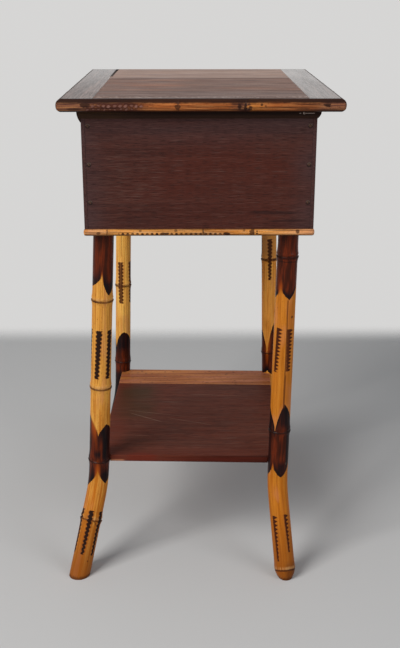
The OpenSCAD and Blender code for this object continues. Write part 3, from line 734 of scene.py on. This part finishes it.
# ---- Split bamboo round the lid ----
# Four wider slices of a darker culm hide the edges of the lid. The front one keeps a gnarled
# joint with the stub of a branch. Its left part is burnt red-brown with a chain of pale dots.
LID_PLAN = (344, 432)
LID_MID = MID_X + 2.4  # the lid doesn't sit quite in the middle
LID_T = 16
LID_OUT = (6, 6)
LID_SWELL = (1.1, 0.8, 0.8, 0.8)
LID_JOINTS = ((0.42, 0.66), (0.22, 0.48, 0.8), (0.3, 0.68), (0.16, 0.5, 0.78))
RUSSET = (0.11, 0.036, 0.022)
BRICK = (0.19, 0.07, 0.042)
EMBER = (0.22, 0.062, 0.02)
COPPER = (0.395, 0.11, 0.026)
BRIGHT = (0.56, 0.19, 0.035)
LID_TONES = (
    (
        (0, BRICK), (0.07, BRICK), (0.11, RUSSET), (0.22, RUSSET), (0.3, EMBER), (0.35, COPPER),
        (0.6, COPPER), (0.64, RUSSET), (0.665, RUSSET), (0.675, BRIGHT), (0.76, COPPER),
        (0.9, EMBER), (0.95, BRICK), (1, BRICK),
    ),
    (
        (0, RUSSET), (0.1, EMBER), (0.3, COPPER), (0.5, EMBER), (0.7, COPPER), (0.9, EMBER),
        (1, RUSSET),
    ),
    ((0, RUSSET), (0.15, EMBER), (0.35, COPPER), (0.6, COPPER), (0.8, EMBER), (1, RUSSET)),
    (
        (0, RUSSET), (0.12, EMBER), (0.25, COPPER), (0.45, COPPER), (0.6, EMBER), (0.8, COPPER),
        (1, RUSSET),
    ),
)
LID_INK = (0.018, 0.006, 0.004)
LID_FLASH = (0.62, 0.27, 0.09)
LID_SHADE = (0.95, 0.22, 0.94, 0.62)
LID_BURNS = (
    (
        (219, 2.4, 7, 4.2, 0.85), (226, 2.2, 6.5, 4.4, 0.9), (232, 2.2, 4.5, 3.2, 0.7),
        (246, 2.2, 9.4, 1.6, 0.8), (251, 1.4, 7.5, 1.2, 0.6), (326, 5, 8.4, 2.6, 0.9),
        (30, 6, 8.4, 2.8, 0.85), (16, 9, 3.4, 1.4, 0.6), (143, 3.5, 6.4, 3.2, 0.7),
        (58, 12, 5.4, 1.6, 0.7), (84, 9, 9.6, 1.5, 0.7), (296, 9, 4, 1.6, 0.5),
    ),
    ((95, 4, 8, 6, 0.8), (207, 4, 7, 6, 0.85), (346, 4, 8, 5, 0.8), (150, 7, 4, 2, 0.6)),
    ((103, 4, 8, 6, 0.85), (234, 4, 8, 6, 0.8), (170, 6, 4, 2, 0.6)),
    ((69, 4, 8, 6, 0.8), (216, 4, 7, 6, 0.85), (337, 4, 8, 5, 0.8), (120, 7, 4, 2, 0.6)),
)
LID_CHAINS = (
    ((34, 104, 7.6, 6.7, 1.5), (28, 96, 3.4, 6.7, 1.1)),
    ((30, 110, 7.6, 6.7, 1.5), (250, 330, 3.4, 6.7, 1.1)),
    ((120, 200, 7.6, 6.7, 1.5),),
    ((60, 150, 7.6, 6.7, 1.5), (240, 300, 3.4, 6.7, 1.1)),
)
for side, word in enumerate(SIDES):
    run = LID_PLAN[side % 2]
    piece = split_culm(
        "lid_bamboo_" + word, side, LID_MID, LID_PLAN, RIM_Z, LID_T, LID_OUT,
        LID_JOINTS[side], LID_SWELL[side], side + 2,
    )
    skin = split_bamboo(
        "lid_bamboo_skin_" + word, run, LID_T, LID_TONES[side], LID_JOINTS[side], LID_BURNS[side],
        (), side + 11, LID_INK, LID_FLASH, LID_SHADE, LID_CHAINS[side],
    )
    paint(piece, skin)
    stand_for(piece, "lid_trim_" + word, "lid")


# ---- Legs ----
# Four bamboo culms. Each was heated and bent outwards at the knee as one piece, sawn level at
# both ends and drilled for a dowel. Bands of toothed marks were burnt in with a notched iron,
# and the culms were scorched dark at the top and where they meet the shelf.
LEG_H = 500
KNEE_Z = 128
BEND_R = 120
BEND_STEPS = 12
ROUND = 72  # sides of a culm
CULM_PACE = 5  # between two rings of it
ABOVE, BELOW = 12, 14  # what is left on at the ends for sawing off
JOINT_R = 13.7  # the culm that JOINT_RING is drawn for
TOE_RING = (
    (-12, 0), (-7, 0.3), (-5, 0.4), (-3, 0.5), (-1.6, 0.6), (-1, 0.3), (-0.6, -0.2), (0, -0.1),
    (0.6, 0.2), (2, -0.3), (4, -0.9), (6, -1.6), (8, -2.4), (10, -3.4), (12, -4.6), (15, -6.8),
)
LEGS = {
    "front_left": dict(
        top=(-125.7, -172), knee=(-144.851, -162.505), foot=(-172.851, -207.505),
        radius=13.7, upper=(405, 277, 164), lower=(76,),
    ),
    "front_right": dict(
        top=(118.3, -172), knee=(112.271, -172.404), foot=(124.271, -217.404),
        radius=13.7, upper=(466, 213), lower=(12,), toe=True,
    ),
    "back_left": dict(
        top=(-121.7, 172), knee=(-132.291, 172.404), foot=(-160.291, 217.404),
        radius=12.3, upper=(324, 186), lower=(62,),
    ),
    "back_right": dict(
        top=(117.3, 172), knee=(125.372, 162.505), foot=(137.372, 207.505),
        radius=12.3, upper=(370, 205), lower=(44,),
    ),
}


class Culm:
    """The course of one leg's culm, in millimetres from the point where its axis meets the box."""

    def __init__(self, top, knee, foot, radius, upper, lower, toe=False):
        self.top = Vector((*top, LEG_H))
        knee = Vector((*knee, KNEE_Z))
        foot = Vector((*foot, 0))
        self.down = (knee - self.top).normalized()
        self.out = (foot - knee).normalized()
        self.bend = math.acos(self.down.dot(self.out))
        reach = BEND_R * math.tan(self.bend / 2)
        self.straight = (knee - self.top).length - reach
        self.arc = BEND_R * self.bend
        self.total = self.straight + self.arc + (foot - knee).length - reach
        self.r0 = radius
        self.r1 = self.r0 + (LEG_H - KNEE_Z) / LEG_H
        self.r2 = self.r0 + 1
        self.side = (self.out - self.down * self.out.dot(self.down)).normalized()
        self.cross = self.down.cross(self.side)
        self.joints = [(LEG_H - h) / -self.down.z for h in upper]
        self.joints += [self.total - h / -self.out.z for h in lower]
        self.toe = toe

    def radius(self, s):
        bent = self.straight + self.arc
        if s < self.straight:
            plain = self.r0 + (self.r1 - self.r0) * max(s, 0) / self.straight
        else:
            plain = self.r1 + (self.r2 - self.r1) * max(0, s - bent) / (self.total - bent)
        scale = (self.r0 if s < bent else self.r1) / JOINT_R
        if self.toe:
            plain += swelling(s, self.joints[-1:], scale, TOE_RING)
        return plain + swelling(s, self.joints[:-1] if self.toe else self.joints, scale)


def foot_rim(edge):
    on_floor = all(abs(v.co.z) < 0.01 * MM for v in edge.verts)
    turned = edge.calc_face_angle(0) > math.radians(40)
    return on_floor and turned and edge.calc_length() > 0.8 * MM


def bamboo_leg(name, culm, wave):
    """Draws the culm straight, ring by ring, and then bends it at the knee as heat does."""
    places = places_along(-ABOVE, culm.total + BELOW, CULM_PACE, culm.joints, 1)
    leave_all()
    bpy.ops.mesh.primitive_circle_add(
        vertices=ROUND, radius=culm.radius(places[0]) * MM, location=(0, 0, places[0] * MM)
    )
    leg = bpy.context.object
    leg.name = name
    bpy.ops.object.transform_apply()
    mode("EDIT")
    pick(of="EDGE")
    for before, place in zip(places, places[1:]):
        extrude((0, 0, (place - before) * MM))
        grown = culm.radius(place) / culm.radius(before)
        bpy.ops.transform.resize(value=(grown, grown, 1), center_override=(0, 0, place * MM))
    mode("OBJECT")

    # The section of a grown culm is a little out of round, and each vertex keeps its place on
    # the skin, to the right, to the front and down, for the marks that are burnt into it.
    front = Vector((0, -1, 0))
    front = (front - culm.down * front.dot(culm.down)).normalized()
    right = front.cross(culm.down)
    skin = leg.data.attributes.new("culm", "FLOAT_VECTOR", "POINT")
    for vertex, entry in zip(leg.data.vertices, skin.data):
        s = vertex.co.z / MM
        angle = math.atan2(vertex.co.y, vertex.co.x)
        away = culm.side * vertex.co.x + culm.cross * vertex.co.y
        entry.vector = (away.dot(right) / MM, away.dot(front) / MM, s)
        squeeze = 0.992 + 0.006 * math.sin(2 * angle + s / 90 + wave)
        squeeze += 0.002 * math.sin(3 * angle + s / 31)
        vertex.co.x *= squeeze
        vertex.co.y *= squeeze

    # Past each ring of the knee the rest of the culm turns a little further
    mode("EDIT")
    pick(of="VERT")
    turn = culm.bend / BEND_STEPS
    pace = culm.arc / BEND_STEPS
    centre = Vector((0, 0, culm.straight + pace / 2))
    for n in range(BEND_STEPS):
        mesh = bmesh.from_edit_mesh(leg.data)
        past = culm.straight + pace * (n + 0.5)
        pick("DESELECT")
        for index, vertex in enumerate(mesh.verts):
            vertex.select_set(places[index // ROUND] > past)
        bmesh.update_edit_mesh(leg.data)
        bpy.ops.transform.rotate(value=-turn, orient_axis="Y", center_override=centre * MM)
        lean = turn * (n + 1)
        centre += Vector((math.sin(lean), 0, math.cos(lean))) * pace
    mode("OBJECT")

    place = Matrix((culm.side, culm.cross, culm.down)).transposed().to_4x4()
    place.translation = (culm.top + Vector((MID_X, 0, 0))) * MM
    leg.matrix_world = place
    bpy.ops.object.transform_apply()
    mode("EDIT")
    for height, way in ((LEG_H, 1), (0, -1)):
        saw((0, 0, height * MM), (0, 0, way))
    # The foot shows the hollow of the culm, and the top is drilled for its dowel
    for height, hollow, deep, way in ((0, 5, 24, -culm.out), (LEG_H, 7.5, 43, culm.down)):
        mesh = bmesh.from_edit_mesh(leg.data)
        pick("DESELECT", "FACE")
        for face in mesh.faces:
            level = abs(face.calc_center_median().z - height * MM) < 0.01 * MM
            face.select_set(level and abs(face.normal.z) > 0.99)
            if face.select:
                wide = math.sqrt(face.calc_area() / math.pi) / MM
        bmesh.update_edit_mesh(leg.data)
        bpy.ops.mesh.inset(thickness=(wide - hollow) * MM)
        extrude(way * deep * MM)
    edges_where(leg, foot_rim)
    bevel(0.9)
    for vertex in bmesh.from_edit_mesh(leg.data).verts:
        vertex.co.z = max(vertex.co.z, 0)
    pick()
    bpy.ops.mesh.normals_make_consistent(inside=False)
    finished(40)
    return leg


def lobed(light, dark, point):
    """The edge of a scorch round the culm, as places (angle, down). The skin left light runs
    into it as sharp points. The dark lobes between them are round (point 0) or pointed (1)."""
    corners = sorted([(*place, True) for place in light] + [(*place, False) for place in dark])
    places = []
    around = corners + [(corners[0][0] + 360, *corners[0][1:])]
    for (a0, s0, sharp), (a1, s1, _) in zip(around, around[1:]):
        places.append((a0, s0))
        if not sharp:
            a0, s0, a1, s1 = a1, s1, a0, s0
        for share in (0.06, 0.2, 0.42, 0.7):
            rise = point * share**0.62 + (1 - point) * (1 - (1 - share) ** 2) ** 0.7
            places.append((a0 + (a1 - a0) * share, s0 + (s1 - s0) * rise))
    return places


def round_curve(f, angle, points, reach=520):
    """A line round the culm: how far down it lies at each angle, in degrees from the front."""
    lie = sorted(((a + 180) % 360 - 180, s) for a, s in points)
    (a0, s0), (a1, s1) = lie[-1], lie[0]
    share = (180 - a0) / (a1 + 360 - a0)
    seam = s0 + (s1 - s0) * share
    ends = [(-180, seam)] + lie + [(180, seam)]
    places = [((a + 180) / 360, s / reach) for a, s in ends]
    return f.node("ShaderNodeFloatCurve", {"points": places}, {"Value": angle / 360 + 0.5}) * reach


INK = (0.0075, 0.005, 0.0062)
MAROON = (0.05, 0.01, 0.0042)
GARNET = (0.125, 0.019, 0.005)
FLAME = (0.31, 0.056, 0.006)


def burnt_bamboo(
    name, culm, seed, skin, scar, scorches, bands, coal=(), rings=(), stains_and_painted_shade=(), lines=(),
    spots=(), ink=(0.0095, 0.0048, 0.004), bite=0.96,
):
    """The skin of a leg. Marks lie at an angle from the front and a distance down the culm. coal is
    (angle, half, from, to), stains_and_painted_shade (angle, from, to, half, colour) are veils of
    stain and of painted shade, lines (angle, from, to, half width, drift), spots (angle, place,
    half width), and scar how wide each joint's ring is."""
    f = Finish(name)
    course = f.node("ShaderNodeAttribute", {"attribute_name": "culm"}, {}, "Vector")
    down = course.part("Z")
    angle = course.part("X").turned(course.part("Y")) * (180 / math.pi)
    per_degree = culm.r0 * math.pi / 180
    p = course.moved((seed * 71, seed * 13, seed * 37))
    fibre = f.cloud(p, (0.8, 0.8, 34), 2)
    streak = f.cloud(p, (2.4, 2.4, 90), 3)
    blotch = f.cloud(p, (11, 11, 36), 3)
    speck = f.cloud(p, (1.2, 1.2, 2.2), 1)
    upper, lower = skin
    f.colour = f.mix((down + 110 * blotch - 55).step(190, 420), upper, lower)
    f.over(blotch * 0.3, dimmed(lower, 0.92, 0.8, 0.7))
    deep = dimmed(lower, 0.72, 0.66, 0.6)
    # Pale streaks along the culm are painted sheen; the dark streaks and fibres are the skin's own
    # colour
    painted_sheen_streak = [min(c, 0.85) for c in dimmed(upper, 1.12, 1.28, 1.6)]
    f.over(streak.step(0.4, 1.0) * 0.45, painted_sheen_streak)
    f.over((1 - streak).step(0.45, 1.0) * 0.5, deep)
    f.over(fibre.step(0.5, 1.0) * 0.4, dimmed(deep, 0.8))
    f.over(speck.step(0.92, 1.0) * 0.35, (0.17, 0.05, 0.012))
    # The bamboo has gone rosy where hands and cloths rub it. The brown that grows towards the foot,
    # and the dark band just above the floor, are painted shade
    f.over(f.cloud(p, (14, 14, 60), 2).step(0.6, 1.0) * 0.35, (0.58, 0.215, 0.095))
    f.over(down.step(culm.total - 120, culm.total + 4) * 0.7, (0.215, 0.054, 0.007))
    f.over((f.z - 3 * streak).step(4.5, 0.5) * 0.75, (0.075, 0.021, 0.0055))

    def apart(at):
        """Angle from a place round the culm, in degrees."""
        return (angle - at).wrapped(360)

    def round_about(at, wide, full):
        return apart(at).size().step(wide, full)

    # Veils of colour round part of the culm: stains, and painted shade
    for at, start, end, half, shade in stains_and_painted_shade:
        stain_and_shade_veil = round_about(at, half, half * 0.4) * down.within(start, end, 8, 8)
        f.over(stain_and_shade_veil * (0.45 + 0.55 * streak) * 0.75, shade)

    # Joints: a dark scar where the leaf sheath sat, and a streaky ridge above it
    scars = None
    for joint, width in zip(culm.joints, scar):
        d = down - joint + 0.6 * speck - 0.3
        scars = most(scars, d.near(0, 1.35 * width, 0.45 * width))
        ridge = d.step(-6.5, -3.5) * d.step(-0.5, -1.6) * streak
        f.over(ridge * 0.45, (0.74, 0.42, 0.17))
    for joint in rings:
        scars = scars.most(down.near(joint, 1.0, 0.3) * 0.9)
    f.over(scars * (0.72 + 0.25 * blotch), (0.05, 0.0125, 0.004))

    def teeth_of(
        span, at, thick, drift=0, pace=0, side=0, tooth=1.9, pitch=6.0, fade=1.2, wane=0.5, worn=0
    ):
        """The marks of a notched iron, and the singed skin round them. The teeth of a rope stand
        out on both sides in turn, and those of a comb on one side only."""
        start, end = span
        off = apart(at) - (down - start) * drift
        if pace:
            off = off.wrapped(pace)
        across = off * per_degree + 0.5 * speck - 0.25
        beat = (down - start) * (math.pi / pitch)
        share = (down - start) / (end - start)
        if side:
            bump = beat.sine().size().raised(1.6) * across.step(-0.2, 0.3) * (1.25 - share * wane)
        else:
            bump = (beat + across.step(-0.3, 0.3) * (math.pi / 2)).sine().size().raised(0.75)
        gap = thick - share * fade + bump * tooth - across.size()
        inside = down.within(start, end, 0, 0.8)
        core = across.size().step(1.5, 0.3) * (0.35 + 0.65 * blotch) * worn
        return gap.step(-0.15, 0.55) * inside * (1 - core), gap.step(-1.7, 0.4) * inside

    def scorch_of(low, point, low_glow=None, top=None, top_glow=None, char=22, reach=20):
        """A scorch, its black rims, and the glow where the heat was less."""
        edges = [(round_curve(f, angle, lobed(*low, point)) - down, low_glow)]
        if top:
            edges.append((down - round_curve(f, angle, lobed(*top, point)), top_glow))
        here = rim = lit = None
        for depth, glow in edges:
            near = round_about(*glow, glow[1] * 0.25) if glow else 0.0
            covers = ((depth + (speck - 0.5) * 1.1) / (0.55 + 4.0 * near)).step(-1.0, 1.0)
            here = covers if here is None else here.least(covers)
            rim = most(rim, depth.step(char, 3) * (1 - near))
            lit = most(lit, depth.step(reach, 0) * near)
        return here, rim * here, lit * here

    teeth = halo = burnt = black = fire = None
    for band in bands:
        mark, singed = teeth_of(**band)
        teeth, halo = most(teeth, mark), most(halo, singed)
    for scorch in scorches:
        here, rim, lit = scorch_of(**scorch)
        burnt, black, fire = most(burnt, here), most(black, rim), most(fire, lit)
    ember = f.cloud(p, (5.5, 5.5, 44), 3)
    thread = f.cloud(p, (1.0, 1.0, 26), 2)
    deep = f.mix(ember.step(0.2, 0.8), MAROON, GARNET)
    deep = f.mix(thread.step(0.35, 1.0) * 0.55, deep, (0.024, 0.007, 0.0046))
    deep = f.mix(fire, deep, FLAME)
    for at, half, start, end in coal:
        spot = round_about(at, half, half * 0.6) * down.step(start - 5, start + 7)
        black = black.most(spot * down.step(end + 9, end - 9) * burnt)
    deep = f.mix(black * (0.8 + 0.2 * (1 - ember)), deep, INK)
    deep = f.mix(scars * 0.75, deep, (0.01, 0.0042, 0.0036))
    f.over(halo * (1 - burnt) * 0.8, (0.185, 0.046, 0.01))
    f.over(teeth * bite, ink)
    f.over(burnt, deep)

    cracks = None
    for at, start, end, half, drift in lines:
        off = (apart(at) - (down - start) * drift) * per_degree + 0.5 * blotch - 0.25
        line = off.near(0, half + 0.35, half - 0.15)
        cracks = most(cracks, line * down.within(start, end, 2, 2))
    for at, place, half in spots:
        gap = (apart(at) * per_degree).raised(2) + (down - place).raised(2)
        cracks = most(cracks, gap.step(half * half * 1.6, half * half * 0.5))
    if cracks is not None:
        f.over(cracks * 0.85, (0.12, 0.03, 0.0065))
    relief = streak * 0.25 + fibre * 0.2 - scars * 0.6 - teeth * 0.7 - burnt * 0.15
    rough = 0.36 + 0.12 * fibre - 0.12 * burnt + 0.18 * teeth * (1 - burnt)
    f.skin(rough, relief, 0.26, gloss=0.05, coat=0.06)
    return f


def comb(span, at, thick, tooth, pitch, **more):
    """A band with its teeth on one side."""
    return dict(span=span, at=at, thick=thick, side=1, tooth=tooth, pitch=pitch, **more)


LEG_MARKS = {
    "front_left": dict(
        skin=((0.72, 0.335, 0.058), (0.5, 0.155, 0.012)),
        scar=(1.6, 1.5, 1.2, 1.3),
        coal=(
            (52, 40, 276, 338), (-88, 30, 300, 372), (50, 34, 350, 372), (-8, 24, 318, 330),
            (42, 34, 66, 90), (-66, 22, 58, 80),
        ),
        scorches=(
            dict(
                low=(((-132, 50), (1, 57), (104, 56)), ((-72, 75), (42, 86), (164, 84))),
                low_glow=(1, 12), char=26, reach=9, point=0.45,
            ),
            dict(
                top=(((-128, 300), (-4, 295), (112, 300)), ((-92, 262), (44, 277), (172, 268))),
                top_glow=(-34, 36),
                low=(((-128, 342), (-4, 348), (112, 344)), ((-80, 381), (48, 372), (172, 372))),
                low_glow=(-4, 26), char=30, reach=32, point=0.7,
            ),
        ),
        bands=(
            dict(span=(136, 208), at=-10, drift=-0.15, pace=67, thick=2.4, tooth=2.1),
            dict(span=(414, 479), at=-4, drift=-0.08, pace=62, thick=1.7),
        ),
        lines=((20, 429, 436, 0.7, 3.2),),
        spots=((31, 487, 1.2), (-22, 120, 0.5)),
    ),
    "front_right": dict(
        skin=((0.56, 0.19, 0.018), (0.49, 0.15, 0.01)),
        scar=(2.0, 1.3, 1.4),
        coal=((-82, 34, 246, 352), (72, 40, 244, 352), (20, 24, 242, 280), (18, 26, 332, 354)),
        rings=(39.5,),
        scorches=(
            dict(
                low=(((-150, 60), (-34, 76), (74, 68)), ((-84, 92), (17, 92), (130, 90))),
                low_glow=(-38, 22), char=10, reach=18, point=1,
            ),
            dict(
                top=(((-150, 284), (-30, 286), (88, 284)), ((-96, 249), (18, 243), (140, 250))),
                low=(((-150, 330), (-36, 338), (80, 330)), ((-84, 358), (16, 357), (130, 352))),
                low_glow=(-36, 14), char=15, reach=8, point=0.85,
            ),
        ),
        bands=(
            comb((132, 197), -42, 1.9, 3.6, 5.2, drift=-0.17, fade=0.6, wane=0.3),
            comb((133, 195), 22, 2.1, 3.6, 5.2, drift=0.02, fade=0.6, wane=0.3, worn=0.35),
            comb((133, 195), 102, 1.1, 2.6, 5.2),
            comb((133, 195), -162, 1.1, 2.6, 5.2),
            comb((416, 482), -46, 1.3, 3.6, 5.6, drift=0.1, fade=0.4, wane=1.1),
            comb((415, 470), 24, 1.3, 3.2, 5.6, drift=0.13, fade=0.4, wane=1.1),
            comb((415, 474), 100, 1.0, 2.8, 5.6),
            comb((415, 474), -150, 1.0, 2.8, 5.6),
        ),
        lines=((10, 92, 249, 0.75, 0.01), (16, 200, 249, 0.4, 0.0)),
        spots=((40, 116.5, 1.9), (-8, 86, 0.5), (-52, 104, 0.6)),
        # A brown stain along the groove, and painted shade round the right of the foot
        stains_and_painted_shade=((30, 96, 246, 22, (0.42, 0.125, 0.013)), (44, 486, 515, 60, (0.1, 0.026, 0.005))),
        ink=(0.038, 0.0075, 0.0032),
        bite=0.9,
    ),
    "back_left": dict(
        # This paler skin is painted light: it brightens a back leg that the lamps reach less
        skin=((0.9, 0.46, 0.092), (0.62, 0.205, 0.02)),
        ink=(0.052, 0.015, 0.005),
        bite=0.9,
        scar=(2.1, 1.2, 1),
        coal=((10, 60, 258, 292), (-60, 70, 330, 424), (60, 60, 330, 424)),
        scorches=(
            dict(
                top=(((-150, 302), (-56, 288), (92, 286)), ((-100, 268), (11, 258), (140, 262))),
                low=(((-120, 398), (-20, 400), (104, 398)), ((-76, 426), (44, 424), (164, 422))),
                char=26, point=0.25,
            ),
        ),
        bands=(
            dict(
                span=(134, 207), at=-19, drift=0.1, pace=88, thick=2.4, tooth=2.3, worn=0.8, fade=1,
            ),
            dict(span=(414, 477), at=-8, drift=-0.05, pace=60, thick=1.8),
        ),
        lines=((-14, 60, 124, 0.3, 0.02), (10, 210, 256, 0.25, 0.0)),
        spots=((-30, 78, 0.5),),
    ),
    "back_right": dict(
        # This paler skin is painted light: it brightens a back leg that the lamps reach less
        skin=((0.93, 0.375, 0.062), (0.62, 0.2, 0.019)),
        ink=(0.044, 0.0125, 0.0045),
        bite=0.9,
        scar=(2.6, 1.2, 1),
        coal=((48, 26, 240, 270), (90, 50, 270, 330)),
        scorches=(
            dict(
                top=(((-150, 290), (-20, 300), (84, 280)), ((-72, 254), (38, 240), (150, 262))),
                top_glow=(-14, 34),
                low=(((-120, 318), (-20, 326), (104, 322)), ((-76, 334), (44, 336), (164, 332))),
                char=16, reach=40, point=0.6,
            ),
        ),
        bands=(
            dict(span=(94, 165), at=3, drift=-0.02, pace=90, thick=2.2, tooth=2.2, fade=2.0),
            dict(span=(414, 477), at=-12, drift=0.05, pace=60, thick=1.8),
        ),
        # Painted shade on the culm just below the box
        stains_and_painted_shade=((-30, 50, 126, 150, (0.33, 0.155, 0.05)),),
    ),
}
sawn = Finish("bamboo_sawn_end")
pith = sawn.cloud(sawn.at, (0.7, 0.7, 6), 2)
sawn.colour = sawn.mix(pith, (0.42, 0.2, 0.07), (0.2, 0.085, 0.03))
sawn.skin(0.7, pith, 0.2)
for seed, (word, data) in enumerate(LEGS.items()):
    culm = Culm(**data)
    leg = bamboo_leg("culm_" + word, culm, seed * 1.7)
    paint(leg, burnt_bamboo("bamboo_skin_" + word, culm, seed + 1, **LEG_MARKS[word]), sawn)
    stand_for(leg, "leg_" + word)


# ---- Dowels and screws in the legs ----
# A hardwood dowel fills the top of each culm, and a wood screw goes down into it through the
# bottom board. All of it is hidden once the box stands on its legs.
dress(bare_wood("dowel_wood", 0, 9), "leg_dowels")
dress(iron, "leg_screws")


# ---- Shelf ----
# A dark-stained board and a paler strip behind it, notched round the culms and held by one nail
# through each leg. The board is scratched and has a greenish stain at its back left.
def shelf_stain(name):
    f, grain = grained(name, 0, 60, 20, 5)
    x, y, z = f.x - MID_X - 3.3, f.y, f.z
    broad = grain(150, 60, 60, 2)
    figure = grain(150, 9, 5, 4)
    fibre = grain(44, 1.8, 1.2, 3)
    pore = grain(16, 1.6, 0.9, 1)
    f.colour = f.mix(figure * 0.6 + fibre * 0.4, (0.058, 0.017, 0.0112), (0.132, 0.042, 0.027))
    f.over(broad * 0.55, (0.126, 0.029, 0.0165))
    f.over(pore.step(0.62, 0.95) * 0.45, (0.026, 0.01, 0.008))
    f.over((1 - fibre).step(0.72, 1.0) * 0.3, (0.185, 0.09, 0.066))
    stain = x.step(-56, -92) * x.step(-146, -122) * y.step(-60, -10) * y.step(118, 70)
    ruddy = x.step(-104, -128) * (0.35 + 0.35 * broad)
    f.over(ruddy, (0.15, 0.03, 0.017))
    f.over(stain * (0.3 + 0.45 * broad), (0.046, 0.029, 0.013))
    front = y.step(-120, -168)
    f.over(front * 0.35, (0.118, 0.023, 0.013))
    scratches = None
    for x0, y0, x1, y1, half in (
        (-112, -14, -56, -52, 0.9), (-118, -4, -20, -30, 0.5), (-55, -32, 20, -62, 0.5),
        (-20, 60, 70, 52, 0.4), (-104, -96, -70, -101, 0.5),
    ):
        length = math.hypot(x1 - x0, y1 - y0)
        ux, uy = (x1 - x0) / length, (y1 - y0) / length
        on = (x - x0) * ux + (y - y0) * uy
        off = (y - y0) * ux - (x - x0) * uy + 1.6 * broad
        line = off.near(0, half, half * 0.3) * on.step(0, 12) * on.step(length, length - 14)
        scratches = most(scratches, line)
    f.over(scratches * (0.35 + 0.5 * figure), (0.27, 0.165, 0.125))
    f.over(f.worn_edge() * 0.25, (0.15, 0.038, 0.018))
    face = (y.step(-170, -174) * z.step(168.6, 167.8)).most(y.step(-165, -169.5) * 0.85)
    f.over(face * 0.85, f.mix(figure, (0.022, 0.0034, 0.0022), (0.068, 0.008, 0.0046)))
    # A splinter has come off the lower front edge beside the left leg
    bare = (x + 3 * fibre).step(-106, -112) * (z + 1.5 * figure).step(164.5, 162.8)
    f.over(bare * y.step(-150, -153) * 0.85, (0.4, 0.16, 0.08))
    glow = ((x + 86) / 26).raised(2) + ((y + 168) / 14).raised(2)
    f.over(glow.step(1.2, 0.2) * 0.4, (0.15, 0.015, 0.0075))
    rough = 0.4 + 0.18 * fibre
    f.skin(rough, figure * 0.3 + fibre * 0.5 - scratches * 0.5, 0.14, gloss=0.03)
    return f


eased_board("shelf_plank", "shelf_board", shelf_stain("shelf_stain"), 0.6)

strip_pine, grain = grained("strip_pine", 0, 0, 0, 0)
figure = grain(150, 7, 5, 4)
fibre = grain(38, 1.5, 0.9, 2)
band = strip_pine.cloud(strip_pine.place, (190, 12, 20), 2)
knots = strip_pine.cloud(strip_pine.place, (7, 3.2, 6), 1).step(0.9, 1.0)
strip_pine.colour = strip_pine.mix(figure, (0.25, 0.062, 0.016), (0.54, 0.205, 0.06))
strip_pine.over(band.step(0.5, 0.95) * 0.65, (0.46, 0.16, 0.09))
strip_pine.over(fibre.step(0.45, 1.0) * 0.45, (0.16, 0.042, 0.016))
strip_pine.over(knots * 0.75, (0.08, 0.026, 0.012))
strip_pine.over(strip_pine.worn_edge() * 0.4, (0.52, 0.27, 0.12))
strip_pine.skin(0.42 + 0.15 * fibre, figure * 0.4 - fibre * 0.5, 0.14, gloss=0.1)
eased_board("shelf_back_strip", "shelf_strip", strip_pine, 0.6)
dress(iron, "shelf_nails")


# ---- Studio ----
# A plain pale floor that ends behind the box and fades into a pale background, a large soft
# light from the left, a weaker one from the right, and the camera of the photograph.
leave_all()
bpy.ops.mesh.primitive_plane_add(size=1, location=(0, 0, 0))
floor = bpy.context.object
floor.name = "studio_floor"
mode("EDIT")
bpy.ops.transform.resize(value=(12, 12, 1), center_override=(0, 0, 0))
mode("OBJECT")


def seen_directly(finish):
    rays = ("Is Camera Ray", "Is Glossy Ray", "Is Transmission Ray")
    share = finish.node("ShaderNodeLightPath", {}, {}, rays[0])
    for ray in rays[1:]:
        share = share.most(finish.node("ShaderNodeLightPath", {}, {}, ray))
    return share


paper = Finish("studio_paper")
far = paper.node("ShaderNodeVectorMath", {"operation": "LENGTH"}, [paper.at], "Value")
far = far.step(1150, 2100).most(paper.y.step(770, 900))
paper.colour = (0.62, 0.62, 0.62)
paper.skin(0.9, gloss=0.1)
paper.plug(paper.shader.inputs["Alpha"], 1 - far * seen_directly(paper))
paint(floor, paper)

world = bpy.data.worlds.new("studio_world")
bpy.context.scene.world = world
air = Finish("studio_air", world)
light, background = (0.23, 0.236, 0.245), (0.672, 0.667, 0.66)
air.plug(air.shader.inputs["Color"], air.mix(seen_directly(air), light, background))


def soft_light(name, place, towards, size, watts, colour):
    lamp = bpy.data.lights.new(name, "AREA")
    lamp.shape = "RECTANGLE"
    lamp.size, lamp.size_y = size
    lamp.energy = watts
    lamp.color = colour
    holder = bpy.data.objects.new(name, lamp)
    bpy.context.scene.collection.objects.link(holder)
    holder.location = place
    holder.rotation_euler = (Vector(towards) - Vector(place)).to_track_quat("-Z", "Y").to_euler()


soft_light("key_light", (-1.9, -1.9, 2.3), (0, 0, 0.4), (1.5, 1.8), 84, (1.0, 0.985, 0.96))
soft_light("fill_light", (1.7, -1.6, 1.2), (0, 0, 0.4), (1.2, 1.6), 14, (0.97, 0.985, 1.0))

camera = bpy.data.cameras.new("photo_camera")
camera.lens = 55.56
camera.sensor_width = 36
camera.clip_start = 0.05
view = bpy.data.objects.new("photo_camera", camera)
bpy.context.scene.collection.objects.link(view)
view.location = (-0.0043, -1.4602, 0.8111)
view.rotation_euler = (math.radians(71.1), 0, math.radians(-0.41))
bpy.context.scene.camera = view
bpy.context.scene.view_settings.view_transform = "Standard"
